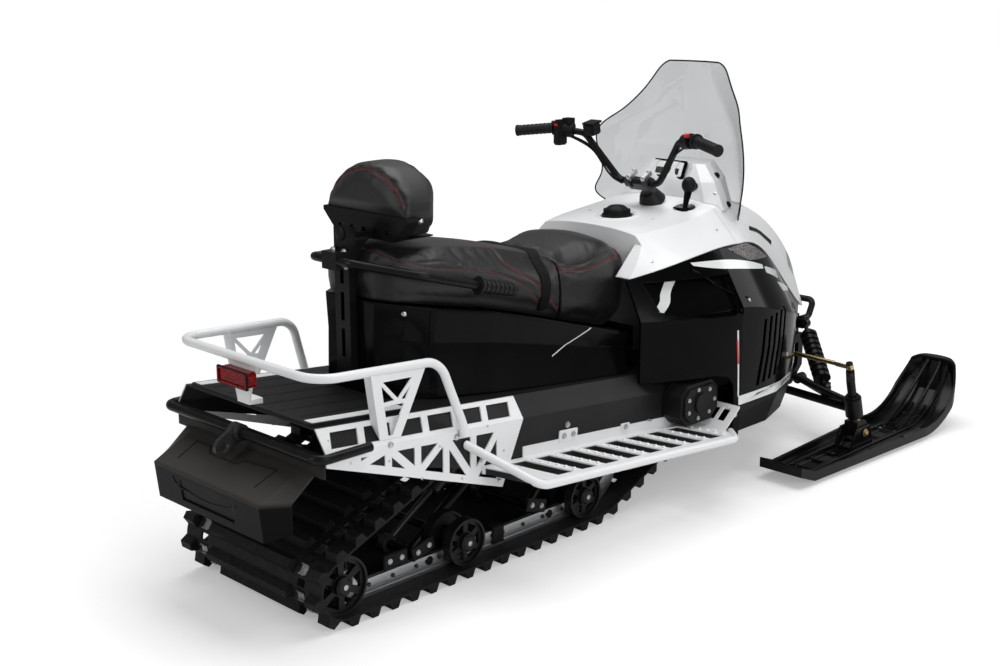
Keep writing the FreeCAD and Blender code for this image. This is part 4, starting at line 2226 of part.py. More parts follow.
NODES = {
    "track": track, "drive_axle": drive_axle, "top_idlers": top_idlers, "rail_wheels": road_wheels,
    "rear_idlers": rear_idlers, "slide_rails": pair(rail_right), "skid_arms": skid_arms, "skid_shocks": skid_shocks,
    "tunnel": tunnel, "side_plates": pair(side_plate_right), "running_boards": running_boards,
    "rear_deck": deck_plate, "cargo_rack": cargo_rack, "rack_plates": rack_plates, "tail_lamp": tail_lamp,
    "rear_bumper": rear_bumper, "snow_flap": snow_flap, "tow_hitch": tow_hitch,
    "seat_base": seat_base, "seat_passenger": seat_passenger, "seat_rider": seat_rider, "seat_strap": seat_strap,
    "backrest_frame": backrest_frame, "backrest_pad": backrest_pad, "grab_handle": grab_handle,
    "grab_grips": pair(grab_grip_right), "fuel_console": console, "fuel_cap": fuel_cap, "shift_lever": shift_lever,
    "hood": hood, "headlamps": headlamps, "side_panels": pair(side_panel_right),
    "front_panels": pair(front_panel_right), "belly_pan": belly_pan, "dash_pod": dash_pod, "windshield": windshield,
    "front_frame": front_frame, "engine_block": engine_block, "front_arms": pair(front_arms_right),
    "front_shocks": pair(front_shock_right), "front_bumper": front_bumper, "drive_case": drive_case,
    "steering_column": steering_column, "steering_boot": steering_boot, "handlebar": handlebar,
    "grips": pair(grip_right), "bar_controls": bar_controls,
}

os.makedirs("parts", exist_ok=True)
for name, make in NODES.items():
    export(name, make())
for name, make in (("spindle", spindle_right), ("ski", ski_right), ("tie_rod", tie_rod_right)):
    piece = make()
    export(name + "_right", piece)
    export(name + "_left", mirrored(piece))
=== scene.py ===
import math
from collections import namedtuple

import bmesh
import bpy
from mathutils import Matrix, Vector
from mathutils.bvhtree import BVHTree
from mathutils.kdtree import KDTree


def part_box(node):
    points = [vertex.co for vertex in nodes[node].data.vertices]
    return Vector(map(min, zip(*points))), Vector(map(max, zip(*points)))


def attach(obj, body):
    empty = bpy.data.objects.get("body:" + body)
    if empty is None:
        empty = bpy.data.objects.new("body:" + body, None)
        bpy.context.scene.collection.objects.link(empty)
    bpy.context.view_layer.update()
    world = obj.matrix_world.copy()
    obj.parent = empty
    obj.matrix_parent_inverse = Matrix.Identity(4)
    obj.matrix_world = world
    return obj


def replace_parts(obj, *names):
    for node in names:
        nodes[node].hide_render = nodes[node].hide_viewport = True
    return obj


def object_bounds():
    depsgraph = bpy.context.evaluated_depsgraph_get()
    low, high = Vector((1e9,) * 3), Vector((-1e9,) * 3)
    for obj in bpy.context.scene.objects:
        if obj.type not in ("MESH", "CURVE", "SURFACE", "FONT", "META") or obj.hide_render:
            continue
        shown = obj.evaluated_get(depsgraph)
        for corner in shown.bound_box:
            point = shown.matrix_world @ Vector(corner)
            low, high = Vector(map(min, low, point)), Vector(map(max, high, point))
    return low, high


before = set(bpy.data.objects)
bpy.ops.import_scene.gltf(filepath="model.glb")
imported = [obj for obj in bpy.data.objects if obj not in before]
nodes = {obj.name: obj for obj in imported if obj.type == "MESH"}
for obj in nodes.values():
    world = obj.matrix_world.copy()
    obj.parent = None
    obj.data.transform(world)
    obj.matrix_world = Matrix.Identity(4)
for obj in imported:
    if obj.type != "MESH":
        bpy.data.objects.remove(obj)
cad_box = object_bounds()

# Units and directions
mm = 0.001
turn = 2 * math.pi
x_way = Vector((1.0, 0.0, 0.0))
y_way = Vector((0.0, 1.0, 0.0))
z_way = Vector((0.0, 0.0, 1.0))

# Material kit
noise_detail = 4.0
noise_roughness = 0.55
bevel_samples = 4
pebble_edge = 0.35
drift_detail = 5.0
drift_low = 0.3
drift_high = 0.7
gloss_detail = 6.0
gloss_spots_share = 3
gloss_low_share = 0.85
gloss_high_share = 1.2


def add_node(tree, kind, sockets=None, **settings):
    """A shader node with its settings and the constants on its sockets."""
    made = tree.nodes.new("ShaderNode" + kind)
    for setting, value in settings.items():
        setattr(made, setting, value)
    for socket, value in (sockets or {}).items():
        made.inputs[socket].default_value = value
    return made


class Finish:
    """A node material: one Principled shader with a few helpers for procedural detail."""

    def __init__(self, name, sockets):
        self.material = bpy.data.materials.new(name)
        self.material.use_nodes = True
        self.tree = self.material.node_tree
        self.shader = self.tree.nodes["Principled BSDF"]
        for socket, value in sockets.items():
            self.shader.inputs[socket].default_value = value
        self.place = self.node("TexCoord").outputs["Object"]
        self.normal = None

    def node(self, kind, sockets=None, **settings):
        return add_node(self.tree, kind, sockets, **settings)

    def link(self, source, target):
        self.tree.links.new(source, target)

    def texture(self, kind, sockets, stretch=None, **settings):
        """A texture in object coordinates, stretched along its axes where asked."""
        source = self.place
        if stretch:
            mapping = self.node("Mapping", {"Scale": stretch})
            self.link(source, mapping.inputs["Vector"])
            source = mapping.outputs["Vector"]
        made = self.node("Tex" + kind, sockets, **settings)
        self.link(source, made.inputs["Vector"])
        return made.outputs

    def noise(self, scale, detail=noise_detail, roughness=noise_roughness, stretch=None):
        sockets = {"Scale": scale, "Detail": detail, "Roughness": roughness}
        return self.texture("Noise", sockets, stretch)["Fac"]

    def cells(self, scale, stretch=None):
        """The distance to the edges of scattered cells."""
        return self.texture("Voronoi", {"Scale": scale}, stretch, feature="DISTANCE_TO_EDGE")["Distance"]

    def pebbles(self, scale, edge=pebble_edge):
        """Cells with flat tops."""
        return self.spread(self.cells(scale), 0.0, 1.0, 0.0, edge)

    def waves(self, scale, axis):
        return self.texture("Wave", {"Scale": scale}, wave_type="BANDS", bands_direction=axis)["Fac"]

    def pattern(self, kind, scale, shape):
        """The texture that a table names: noise, cells, pebbles or waves."""
        return getattr(self, kind)(scale, **shape)

    def axes(self):
        """The X, Y and Z of the place on the object."""
        split = self.node("SeparateXYZ")
        self.link(self.place, split.inputs[0])
        return [split.outputs[axis] for axis in "XYZ"]

    def spread(self, source, low, high, from_low=0.0, from_high=1.0):
        """A value mapped from one range to another."""
        ranges = {"From Min": from_low, "From Max": from_high, "To Min": low, "To Max": high}
        made = self.node("MapRange", ranges)
        self.link(source, made.inputs["Value"])
        return made.outputs["Result"]

    def combine(self, operation, *sources):
        """One piece of arithmetic on one or two values."""
        made = self.node("Math", operation=operation)
        for source, socket in zip(sources, made.inputs):
            self.link(source, socket)
        return made.outputs["Value"]

    def colours(self, source, stops):
        """A colour ramp to the base colour, from a dictionary of places and colours."""
        ramp = self.node("ValToRGB")
        band = ramp.color_ramp
        while len(band.elements) < len(stops):
            band.elements.new(1.0)
        for element, (place, colour) in zip(band.elements, stops.items()):
            element.position = place
            element.color = (*colour, 1.0)
        self.link(source, ramp.inputs["Fac"])
        self.link(ramp.outputs["Color"], self.shader.inputs["Base Color"])

    def roughness(self, source, low, high):
        self.link(self.spread(source, low, high), self.shader.inputs["Roughness"])

    def drifting(self, colour, drift, spots):
        """One colour that slowly drifts lighter and darker."""
        lighter, darker = (tuple(channel * (1 + way * drift) for channel in colour) for way in (1, -1))
        self.colours(self.noise(spots, detail=drift_detail), {drift_low: darker, drift_high: lighter})

    def uneven_gloss(self, rough, spots):
        source = self.noise(spots * gloss_spots_share, detail=gloss_detail)
        self.roughness(source, rough * gloss_low_share, rough * gloss_high_share)

    def set_normal(self, made):
        self.normal = made.outputs["Normal"]
        self.link(self.normal, self.shader.inputs["Normal"])

    def soften(self, radius):
        """Rounds the look of hard edges."""
        self.set_normal(self.node("Bevel", {"Radius": radius}, samples=bevel_samples))

    def relief(self, kind, scale, shape, depth, strength=1.0):
        """Adds one layer of relief; depth is in metres."""
        made = self.node("Bump", {"Distance": depth, "Strength": strength})
        self.link(self.pattern(kind, scale, shape), made.inputs["Height"])
        if self.normal:
            self.link(self.normal, made.inputs["Normal"])
        self.set_normal(made)


# Patterns that serve more than one layer: kind, scale and shape
plain = {}
fine = {"detail": 3.0}
broad = {"detail": 2.0}
rich = {"detail": 5.0}
rough_detail = {"detail": 6.0}
grip_cells = {"stretch": (1.0, 1.0, 1.6)}
film_grain = ("noise", 300.0, plain, 0.03 * mm)
powder_grain = ("noise", 650.0, fine, 0.06 * mm)
powder_white = (0.83, 0.84, 0.85)
drawn_lines = ("noise", 40.0, {"detail": 6.0, "stretch": (0.3, 30.0, 30.0)})
ski_scratches = {"detail": 8.0, "roughness": 0.7, "stretch": (0.12, 9.0, 9.0)}
lamp_flutes = ("waves", 55.0, {"axis": "Y"})
lamp_prisms = ("cells", 150.0, plain)
thread_twist = ("waves", 900.0, {"axis": "DIAGONAL"})
mesh_cells = ("cells", 95.0, plain)
plain_spots = 35.0

# Mottled finishes: colour, roughness, colour drift, scale of its spots and radius of the softened edges,
# then the layers of relief as kind, scale, shape, depth and strength, and the shader's own constants
Mottled = namedtuple("Mottled", "colour rough drift spots edge relief sockets")
mottled = {
    "white_moulding": ((0.84, 0.85, 0.86), 0.3, 0.012, 9.0, 4.0 * mm,
                       [("noise", 260.0, broad, 0.05 * mm, 0.6)],
                       {"Coat Weight": 0.35, "Coat Roughness": 0.12, "IOR": 1.5}),
    "white_powder_coat": (powder_white, 0.36, 0.015, 14.0, 1.2 * mm, [powder_grain], {"Coat Weight": 0.15}),
    "black_gloss_panel": ((0.0018, 0.0019, 0.0021), 0.13, 0.3, 11.0, 4.0 * mm,
                          [("noise", 180.0, broad, 0.05 * mm, 0.5)],
                          {"Coat Weight": 0.05, "Coat Roughness": 0.05, "Specular IOR Level": 0.05}),
    "black_satin_panel": ((0.0024, 0.0024, 0.0026), 0.2, 0.3, 12.0, 8.0 * mm,
                          [("noise", 420.0, fine, 0.06 * mm)],
                          {"Coat Weight": 0.05, "Coat Roughness": 0.06, "Specular IOR Level": 0.06}),
    "black_moulding": ((0.009, 0.009, 0.0095), 0.45, 0.12, plain_spots, 3.0 * mm,
                       [("pebbles", 520.0, plain, 0.1 * mm)], {"Specular IOR Level": 0.13}),
    "deck_moulding": ((0.007, 0.007, 0.0073), 0.6, 0.12, plain_spots, 0.0,
                      [("pebbles", 430.0, plain, 0.14 * mm)], {"Specular IOR Level": 0.2}),
    "black_powder_coat": ((0.006, 0.006, 0.0065), 0.3, 0.25, 24.0, 1.2 * mm,
                          [("noise", 900.0, fine, 0.01 * mm)], {"Specular IOR Level": 0.17}),
    "tunnel_coat": ((0.013, 0.0125, 0.013), 0.4, 0.2, 6.0, 3.0 * mm, [("noise", 700.0, fine, 0.02 * mm)],
                    {"Specular IOR Level": 0.2}),
    "dark_coated_steel": ((0.04, 0.04, 0.043), 0.38, 0.3, 40.0, 0.0, [("noise", 900.0, fine, 0.04 * mm)],
                          {"Metallic": 0.4}),
    "track_rubber": ((0.010, 0.010, 0.0105), 0.55, 0.45, 60.0, 0.0,
                     [("noise", 240.0, rough_detail, 0.25 * mm), ("cells", 700.0, plain, 0.08 * mm)],
                     {"Specular IOR Level": 0.15}),
    "wheel_plastic": ((0.007, 0.007, 0.0075), 0.4, 0.3, plain_spots, 0.0,
                      [("pebbles", 700.0, plain, 0.06 * mm)], {"Specular IOR Level": 0.25}),
    "grip_rubber": ((0.009, 0.009, 0.0095), 0.5, 0.2, plain_spots, 0.0,
                    [("cells", 620.0, grip_cells, 0.15 * mm)], {"Specular IOR Level": 0.25}),
    "clear_zinc": ((0.62, 0.62, 0.63), 0.28, 0.12, 120.0, 0.0, [("noise", 1200.0, plain, 0.03 * mm)],
                   {"Metallic": 1.0}),
    "clip_steel": ((0.36, 0.35, 0.34), 0.35, 0.35, 60.0, 0.0, [("noise", 700.0, plain, 0.05 * mm)],
                   {"Metallic": 1.0}),
    "ski_plastic": ((0.005, 0.005, 0.0055), 0.2, 0.3, 18.0, 6.0 * mm,
                    [("noise", 60.0, ski_scratches, 0.012 * mm)], {"Specular IOR Level": 0.16}),
    "cast_grey": ((0.07, 0.07, 0.075), 0.5, 0.12, plain_spots, 0.0, [("pebbles", 380.0, plain, 0.2 * mm)],
                  {"Metallic": 0.5}),
    "strap_webbing": ((0.004, 0.004, 0.0043), 0.5, 0.3, plain_spots, 0.0,
                      [("waves", 260.0, {"axis": axis}, 0.25 * mm) for axis in "XZ"],
                      {"Specular IOR Level": 0.12}),
    "red_switch": ((0.55, 0.02, 0.018), 0.4, 0.12, plain_spots, 0.0, [("pebbles", 700.0, plain, 0.05 * mm)],
                   {"IOR": 1.5}),
    "red_film": ((0.5, 0.015, 0.015), 0.25, 0.05, plain_spots, 0.0, [film_grain], {"Coat Weight": 0.5}),
    # White film for the printed bands, also used for the white lines painted as highlights on the door and
    # the seat base
    "white_film_and_painted_highlight": ((0.78, 0.79, 0.8), 0.22, 0.01, plain_spots, 0.0, [film_grain],
                   {"Coat Weight": 0.6, "Coat Roughness": 0.06}),
}

# Finishes drawn by a pattern: the pattern, the colours along it, the roughness as pattern, low and high,
# then the layers of relief and the shader's own constants
Drawn = namedtuple("Drawn", "pattern stops gloss relief sockets")
drawn = {
    "drawn_aluminium": (drawn_lines, {0.3: (0.55, 0.56, 0.58), 0.7: (0.78, 0.79, 0.8)},
                        (drawn_lines, 0.22, 0.42), [(*drawn_lines, 0.05 * mm)], {"Metallic": 1.0}),
    "yellow_zinc": (("noise", 24.0, plain),
                    {0.25: (0.5, 0.36, 0.16), 0.5: (0.62, 0.48, 0.25), 0.75: (0.56, 0.5, 0.36)},
                    (("noise", 90.0, plain), 0.24, 0.42), [("noise", 800.0, plain, 0.03 * mm)],
                    {"Metallic": 1.0}),
    "seat_vinyl": (("noise", 7.0, plain), {0.3: (0.005, 0.0049, 0.0049), 0.7: (0.009, 0.0088, 0.0088)},
                   (("noise", 30.0, rich), 0.24, 0.38),
                   [("pebbles", 560.0, {"edge": 0.3}, 0.16 * mm), ("noise", 160.0, rich, 0.2 * mm)],
                   {"Sheen Weight": 0.05, "Sheen Roughness": 0.4, "Specular IOR Level": 0.42}),
    "lamp_lens": (lamp_flutes, {0.2: (0.35, 0.36, 0.38), 0.8: (0.78, 0.8, 0.82)}, (lamp_flutes, 0.1, 0.25),
                  [(*lamp_flutes, 0.5 * mm)], {"Metallic": 0.75, "Coat Weight": 1.0, "Coat Roughness": 0.03}),
    "red_lens": (lamp_prisms, {0.0: (0.07, 0.0, 0.001), 0.35: (0.42, 0.002, 0.003)},
                 (("noise", 80.0, plain), 0.12, 0.22), [(*lamp_prisms, 0.4 * mm)],
                 {"Coat Weight": 0.08, "Coat Roughness": 0.04, "Specular IOR Level": 0.12}),
    "red_thread": (thread_twist, {0.0: (0.22, 0.012, 0.012), 1.0: (0.5, 0.03, 0.03)}, None,
                   [(*thread_twist, 0.1 * mm)], {"Roughness": 0.6, "Sheen Weight": 0.2}),
    # Vent mesh: grey at the cell rims, and near black in the recessed cell middles, painted as the shade in
    # the mesh's openings
    "vent_mesh": (mesh_cells,
                  {0.0: (0.22, 0.21, 0.2), 0.12: (0.08, 0.078, 0.075), 0.26: (0.003, 0.003, 0.003)},
                  (mesh_cells, 0.35, 0.8), [(*mesh_cells, -0.9 * mm)], {"IOR": 1.5}),
    "gauge_glass": (("waves", 220.0, {"axis": "Y"}),
                    {0.0: (0.02, 0.022, 0.025), 0.92: (0.03, 0.032, 0.035), 1.0: (0.2, 0.2, 0.2)}, None,
                    [("noise", 60.0, plain, 0.02 * mm)], {"Roughness": 0.06, "Coat Weight": 1.0, "IOR": 1.5}),
}


def mottled_finish(name, look):
    """Slow colour drift, uneven gloss, softened edges and a fine surface relief."""
    finish = Finish(name, look.sockets)
    if look.edge:
        finish.soften(look.edge)
    finish.drifting(look.colour, look.drift, look.spots)
    finish.uneven_gloss(look.rough, look.spots)
    for layer in look.relief:
        finish.relief(*layer)
    return finish.material


def drawn_finish(name, look):
    """Colour, gloss and relief that follow one pattern."""
    finish = Finish(name, look.sockets)
    finish.colours(finish.pattern(*look.pattern), look.stops)
    if look.gloss:
        pattern, low, high = look.gloss
        finish.roughness(finish.pattern(*pattern), low, high)
    for layer in look.relief:
        finish.relief(*layer)
    return finish.material


# The windshield's sheet
screen_haze_scale = 3.0
screen_tints = [(0.70, 0.71, 0.72), (0.78, 0.785, 0.79)]
screen_rim_blend = 0.25
screen_mirror = {"To Min": 0.03, "To Max": 0.3}
screen_roughness = 0.02


def tinted_screen():
    """Smoke-tinted clear sheet: seen through, with a sharp reflection."""
    material = bpy.data.materials.new("tinted_screen")
    material.use_nodes = True
    tree = material.node_tree
    tree.nodes.clear()
    link = tree.links.new
    output = add_node(tree, "OutputMaterial")
    mix = add_node(tree, "MixShader")
    clear = add_node(tree, "BsdfTransparent")
    gloss = add_node(tree, "BsdfGlossy", {"Roughness": screen_roughness})
    place = add_node(tree, "TexCoord")
    haze = add_node(tree, "TexNoise", {"Scale": screen_haze_scale})
    tint = add_node(tree, "ValToRGB")
    for element, colour in zip(tint.color_ramp.elements, screen_tints):
        element.color = (*colour, 1.0)
    rim = add_node(tree, "LayerWeight", {"Blend": screen_rim_blend})
    glance = add_node(tree, "MapRange", screen_mirror)
    link(place.outputs["Object"], haze.inputs["Vector"])
    link(haze.outputs["Fac"], tint.inputs["Fac"])
    link(tint.outputs["Color"], clear.inputs["Color"])
    link(rim.outputs["Facing"], glance.inputs["Value"])
    link(glance.outputs["Result"], mix.inputs["Fac"])
    link(clear.outputs["BSDF"], mix.inputs[1])
    link(gloss.outputs["BSDF"], mix.inputs[2])
    link(mix.outputs["Shader"], output.inputs["Surface"])
    return material


# The snow flap's moulding, with a painted highlight just above its bend and painted shade on the upright face
# below
flap_soft_edge = 5.0 * mm
flap_rough = 0.34
flap_spots = 5.0
flap_low_z = 0.29
flap_high_z = 0.47
# Painted light by height: near black below the bend as painted shade, a lighter band at the bend as a painted
# highlight, then darker upwards
flap_painted_light_tones = {0.0: (0.003, 0.003, 0.003), 0.4: (0.004, 0.004, 0.004), 0.48: (0.058, 0.054, 0.050),
              0.75: (0.034, 0.032, 0.030), 1.0: (0.016, 0.0155, 0.015)}
flap_grain = ("pebbles", 480.0, plain, 0.06 * mm)
flap_sockets = {"Specular IOR Level": 0.07}


def flap_moulding_painted_light():
    """Satin moulding of the snow flap, coloured by height: painted shade, near black, on the upright face,
    and a painted highlight just above the bend, fading darker towards the top.
    """
    finish = Finish("flap_moulding_painted_light", flap_sockets)
    finish.soften(flap_soft_edge)
    finish.uneven_gloss(flap_rough, flap_spots)
    _, _, z = finish.axes()
    finish.colours(finish.spread(z, 0.0, 1.0, flap_low_z, flap_high_z), flap_painted_light_tones)
    finish.relief(*flap_grain)
    return finish.material


# The running boards' coat, and the place of their windows, whose inner faces get painted shade
board_soft_edge = 1.2 * mm
board_rear_x = -0.80
board_rear_z = 0.3282
board_front_x = 0.16
board_front_z = 0.2396
board_skin = 3.0 * mm
board_window_in = 0.335
board_window_out = 0.500
# Coat white, and near black as painted shade on the faces inside the windows
board_painted_shade_tones = {0.0: powder_white, 1.0: (0.006, 0.006, 0.006)}
board_gloss_spots = 42.0
board_rough_low = 0.31
board_rough_high = 0.43
board_sockets = {"Coat Weight": 0.15}


def board_coat_painted_shade():
    """Powder coat of the running boards, with painted shade: near black on the faces inside their windows."""
    finish = Finish("board_coat_painted_shade", board_sockets)
    finish.soften(board_soft_edge)
    x, y, z = finish.axes()
    slope = finish.spread(x, board_rear_z, board_front_z, board_rear_x, board_front_x)
    deep = finish.spread(finish.combine("SUBTRACT", slope, z), 0.0, 1.0, board_skin, board_skin * 2)
    across = finish.combine("ABSOLUTE", y)
    outside = finish.spread(across, 0.0, 1.0, board_window_in - board_skin, board_window_in)
    inside = finish.spread(across, 1.0, 0.0, board_window_out, board_window_out + board_skin)
    # Painted shade mask: below the board's top skin and inside the windows' band across
    dark = finish.combine("MULTIPLY", deep, finish.combine("MULTIPLY", outside, inside))
    finish.colours(dark, board_painted_shade_tones)
    gloss = finish.noise(board_gloss_spots, detail=gloss_detail)
    finish.roughness(gloss, board_rough_low, board_rough_high)
    finish.relief(*powder_grain)
    return finish.material


finishes = {name: mottled_finish(name, Mottled(*row)) for name, row in mottled.items()}
finishes.update({name: drawn_finish(name, Drawn(*row)) for name, row in drawn.items()})
finishes["tinted_screen"] = tinted_screen()
finishes["flap_moulding_painted_light"] = flap_moulding_painted_light()
finishes["board_coat_painted_shade"] = board_coat_painted_shade()

# Finishes of the CAD nodes
node_finish = {
    "white_moulding": ["fuel_console", "hood", "dash_pod"],
    "white_powder_coat": ["cargo_rack", "rack_plates", "side_plates"],
    "board_coat_painted_shade": ["running_boards"],
    "flap_moulding_painted_light": ["snow_flap"],
    "black_gloss_panel": ["side_panels", "front_panels", "shift_lever"],
    "black_satin_panel": ["seat_base"],
    "black_moulding": ["drive_case", "bar_controls", "belly_pan", "fuel_cap"],
    "strap_webbing": ["seat_strap"],
    "deck_moulding": ["rear_deck"],
    "tunnel_coat": ["tunnel"],
    "black_powder_coat": ["rear_bumper", "backrest_frame", "grab_handle", "front_frame", "front_arms",
                          "front_bumper", "handlebar", "spindle_right", "spindle_left", "front_shocks",
                          "skid_arms"],
    "dark_coated_steel": ["tow_hitch", "steering_column", "drive_axle", "skid_shocks"],
    "track_rubber": ["track"],
    "wheel_plastic": ["top_idlers", "rail_wheels", "rear_idlers"],
    "grip_rubber": ["grips", "grab_grips", "steering_boot"],
    "drawn_aluminium": ["slide_rails"],
    "yellow_zinc": ["tie_rod_right", "tie_rod_left"],
    "seat_vinyl": ["seat_passenger", "seat_rider", "backrest_pad"],
    "ski_plastic": ["ski_right", "ski_left"],
    "tinted_screen": ["windshield"],
    "lamp_lens": ["headlamps"],
    "red_lens": ["tail_lamp"],
    "cast_grey": ["engine_block"],
}
for node_look, names in node_finish.items():
    for name in names:
        for node_slot in nodes[name].material_slots:
            node_slot.material = finishes[node_look]

# Piece kit

smooth_angle = math.radians(35.0)
line_steps = 8
tube_sides = 10
thin_tube_sides = 8
round_sides = 24
washer_sides = 20
rivet_sides = 16
crown_sides = 12
hexagon = 6
bevel_steps = 2
bolt_sink = 0.5 * mm
bolt_flange_share = 1.3
bolt_washer_share = 0.18
bolt_head_share = 0.6
bolt_top_share = 0.8
rivet_rim_share = 1 / 4
cast_reach = 0.9


def linked(name, data):
    made = bpy.data.objects.new(name, data)
    bpy.context.scene.collection.objects.link(made)
    return made


def dressed(piece, finish, body="chassis"):
    """Gives a piece its finish and its body."""
    piece.data.materials.clear()
    piece.data.materials.append(finishes[finish])
    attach(piece, body)
    return piece


def mesh_piece(name, shape, finish, body="chassis"):
    """A piece from a bmesh, shaded smooth up to an angle."""
    mesh = bpy.data.meshes.new(name)
    bmesh.ops.recalc_face_normals(shape, faces=shape.faces)
    shape.to_mesh(mesh)
    shape.free()
    mesh.shade_smooth()
    mesh.set_sharp_from_angle(angle=smooth_angle)
    return dressed(linked(name, mesh), finish, body)


def spokes(count):
    """The cosine and sine of evenly spaced angles round a turn."""
    return [(math.cos(turn * index / count), math.sin(turn * index / count)) for index in range(count)]


def box(node):
    """The low and the high corner of a CAD node."""
    return [Vector(corner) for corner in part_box(node)]


def axes_towards(place, towards):
    """A frame at a place whose Z points along a direction."""
    turned = Vector(towards).normalized().to_track_quat("Z", "Y").to_matrix().to_4x4()
    return Matrix.Translation(place) @ turned


def add_cone(shape, place, towards, low_radius, high_radius, length, sides):
    """A capped cone that starts at a place and grows along a direction."""
    middle = Vector(place) + Vector(towards).normalized() * (length / 2)
    bmesh.ops.create_cone(shape, cap_ends=True, segments=sides, radius1=low_radius, radius2=high_radius,
                          depth=length, matrix=axes_towards(middle, towards))


def add_bolt(shape, place, towards, radius):
    """A washer under a hexagon head with a bevelled top."""
    way = Vector(towards).normalized()
    washer = radius * bolt_washer_share
    head = radius * bolt_head_share
    flange = radius * bolt_flange_share
    top = radius * bolt_top_share
    place = Vector(place) - way * bolt_sink
    add_cone(shape, place, way, flange, flange, bolt_sink + washer, washer_sides)
    add_cone(shape, place + way * (bolt_sink + washer), way, radius, radius, head, hexagon)
    add_cone(shape, place + way * (bolt_sink + washer + head), way, top, top / 2, washer, crown_sides)


def add_rivet(shape, place, towards, radius):
    """A low domed rivet."""
    way = Vector(towards).normalized()
    rim = radius * rivet_rim_share
    place = Vector(place) - way * bolt_sink
    add_cone(shape, place, way, radius, radius, bolt_sink + rim, rivet_sides)
    add_cone(shape, place + way * (bolt_sink + rim), way, radius, radius / 2, rim, rivet_sides)


def bolts(name, places, radius, finish="clear_zinc", body="chassis", make=add_bolt):
    """One piece with a bolt at each (place, direction)."""
    shape = bmesh.new()
    for place, towards in places:
        make(shape, place, towards, radius)
    return mesh_piece(name, shape, finish, body)


def rivets(name, places, radius, finish="clear_zinc"):
    """One piece with a rivet at each (place, direction)."""
    return bolts(name, places, radius, finish, make=add_rivet)


def smooth_line(points, steps=line_steps):
    """Points along a smooth curve through the given ones."""
    places = [Vector(p) for p in points]
    line = []
    for index in range(len(places) - 1):
        before = places[max(index - 1, 0)]
        start, end = places[index], places[index + 1]
        after = places[min(index + 2, len(places) - 1)]
        for step in range(steps):
            t = step / steps
            line.append(start * (2 * t ** 3 - 3 * t ** 2 + 1) + (end - before) / 2 * (t ** 3 - 2 * t ** 2 + t)
                        + end * (3 * t ** 2 - 2 * t ** 3) + (after - start) / 2 * (t ** 3 - t ** 2))
    return line + [places[-1]]


def add_tube(shape, line, radius, sides=tube_sides, closed=False):
    """A round tube along a line of points."""
    count = len(line)
    rings = []
    side_way = None
    for index, place in enumerate(line):
        ahead = line[(index + 1) % count] if closed or index + 1 < count else place
        behind = line[index - 1] if closed or index else place
        along = (ahead - behind).normalized()
        if side_way is None:
            side_way = along.orthogonal().normalized()
        side_way = (side_way - along * side_way.dot(along)).normalized()
        up_way = along.cross(side_way)
        rings.append([shape.verts.new(place + (side_way * cosine + up_way * sine) * radius)
                      for cosine, sine in spokes(sides)])
    pairs = list(zip(rings, rings[1:])) + ([(rings[-1], rings[0])] if closed else [])
    for low, high in pairs:
        for side in range(sides):
            shape.faces.new((low[side], low[(side + 1) % sides], high[(side + 1) % sides], high[side]))
    if not closed:
        shape.faces.new(list(reversed(rings[0])))
        shape.faces.new(rings[-1])


def tube_piece(name, lines, radius, finish, body="chassis", sides=tube_sides):
    """One piece of tubes along smooth lines."""
    shape = bmesh.new()
    for points in lines:
        add_tube(shape, smooth_line(points), radius, sides)
    return mesh_piece(name, shape, finish, body)


def border(grid):
    """The pairs of neighbours round a grid's edge."""
    ring = ([column[0] for column in grid] + grid[-1][1:] + [column[-1] for column in reversed(grid[:-1])]
            + list(reversed(grid[0][1:-1])))
    return list(zip(ring, ring[1:] + ring[:1]))


def add_plate(shape, top, foot):
    """A closed plate between two grids of points."""
    top, foot = ([[shape.verts.new(place) for place in column] for column in grid] for grid in (top, foot))
    for grid in (top, foot):
        for left, right in zip(grid, grid[1:]):
            for row in range(len(left) - 1):
                shape.faces.new((left[row], left[row + 1], right[row + 1], right[row]))
    for rim_top, rim_foot in zip(border(top), border(foot)):
        shape.faces.new((rim_top[0], rim_top[1], rim_foot[1], rim_foot[0]))


def add_block(shape, place, along, up, size, bevel):
    """A bevelled block round a place; size is along, across and up."""
    x = Vector(along).normalized()
    z = Vector(up).normalized()
    y = z.cross(x).normalized()
    turned = Matrix((x, y, x.cross(y))).transposed().to_4x4()
    grown = Matrix.Diagonal((*size, 1.0))
    made = bmesh.ops.create_cube(shape, size=1.0, matrix=Matrix.Translation(place) @ turned @ grown)
    edges = list({edge for vertex in made["verts"] for edge in vertex.link_edges})
    bmesh.ops.bevel(shape, geom=edges, offset=bevel, segments=bevel_steps, affect="EDGES")


def blocks(name, places, size, bevel, finish, body="chassis"):
    """One piece of bevelled blocks at (place, along, up)."""
    shape = bmesh.new()
    for place, along, up in places:
        add_block(shape, place, along, up, size, bevel)
    return mesh_piece(name, shape, finish, body)


def surface_tree(*names):
    """A ray-cast tree of CAD nodes or pieces."""
    shape = bmesh.new()
    for name in names:
        shape.from_mesh(nodes[name].data if name in nodes else bpy.data.objects[name].data)
    tree = BVHTree.FromBMesh(shape)
    shape.free()
    return tree


def cast_side(tree, x, z, side):
    """Where a ray from one side first meets a surface, at a place along X and Z."""
    place, normal, _, _ = tree.ray_cast(Vector((x, side * cast_reach, z)), y_way * -side)
    return place, normal


def cast_down(tree, spot):
    """Where a ray from above first meets a surface over a spot, and its facing."""
    return tree.ray_cast(spot + z_way * cast_reach, -z_way)[:2]


# Points in millimetres

def at(x, y, z):
    """A place given in millimetres."""
    return Vector((x, y, z)) * mm


def beside(side, x, y, z):
    """A place in millimetres, mirrored where the side is -1."""
    return at(x, side * y, z)


def laid(tree, points):
    """Points moved to the nearest place of a surface."""
    return [tree.find_nearest(at(*point))[0] for point in points]


def seated(tree, points):
    """The nearest place of a surface and its outward direction, for each point."""
    return [tree.find_nearest(at(*point))[:2] for point in points]


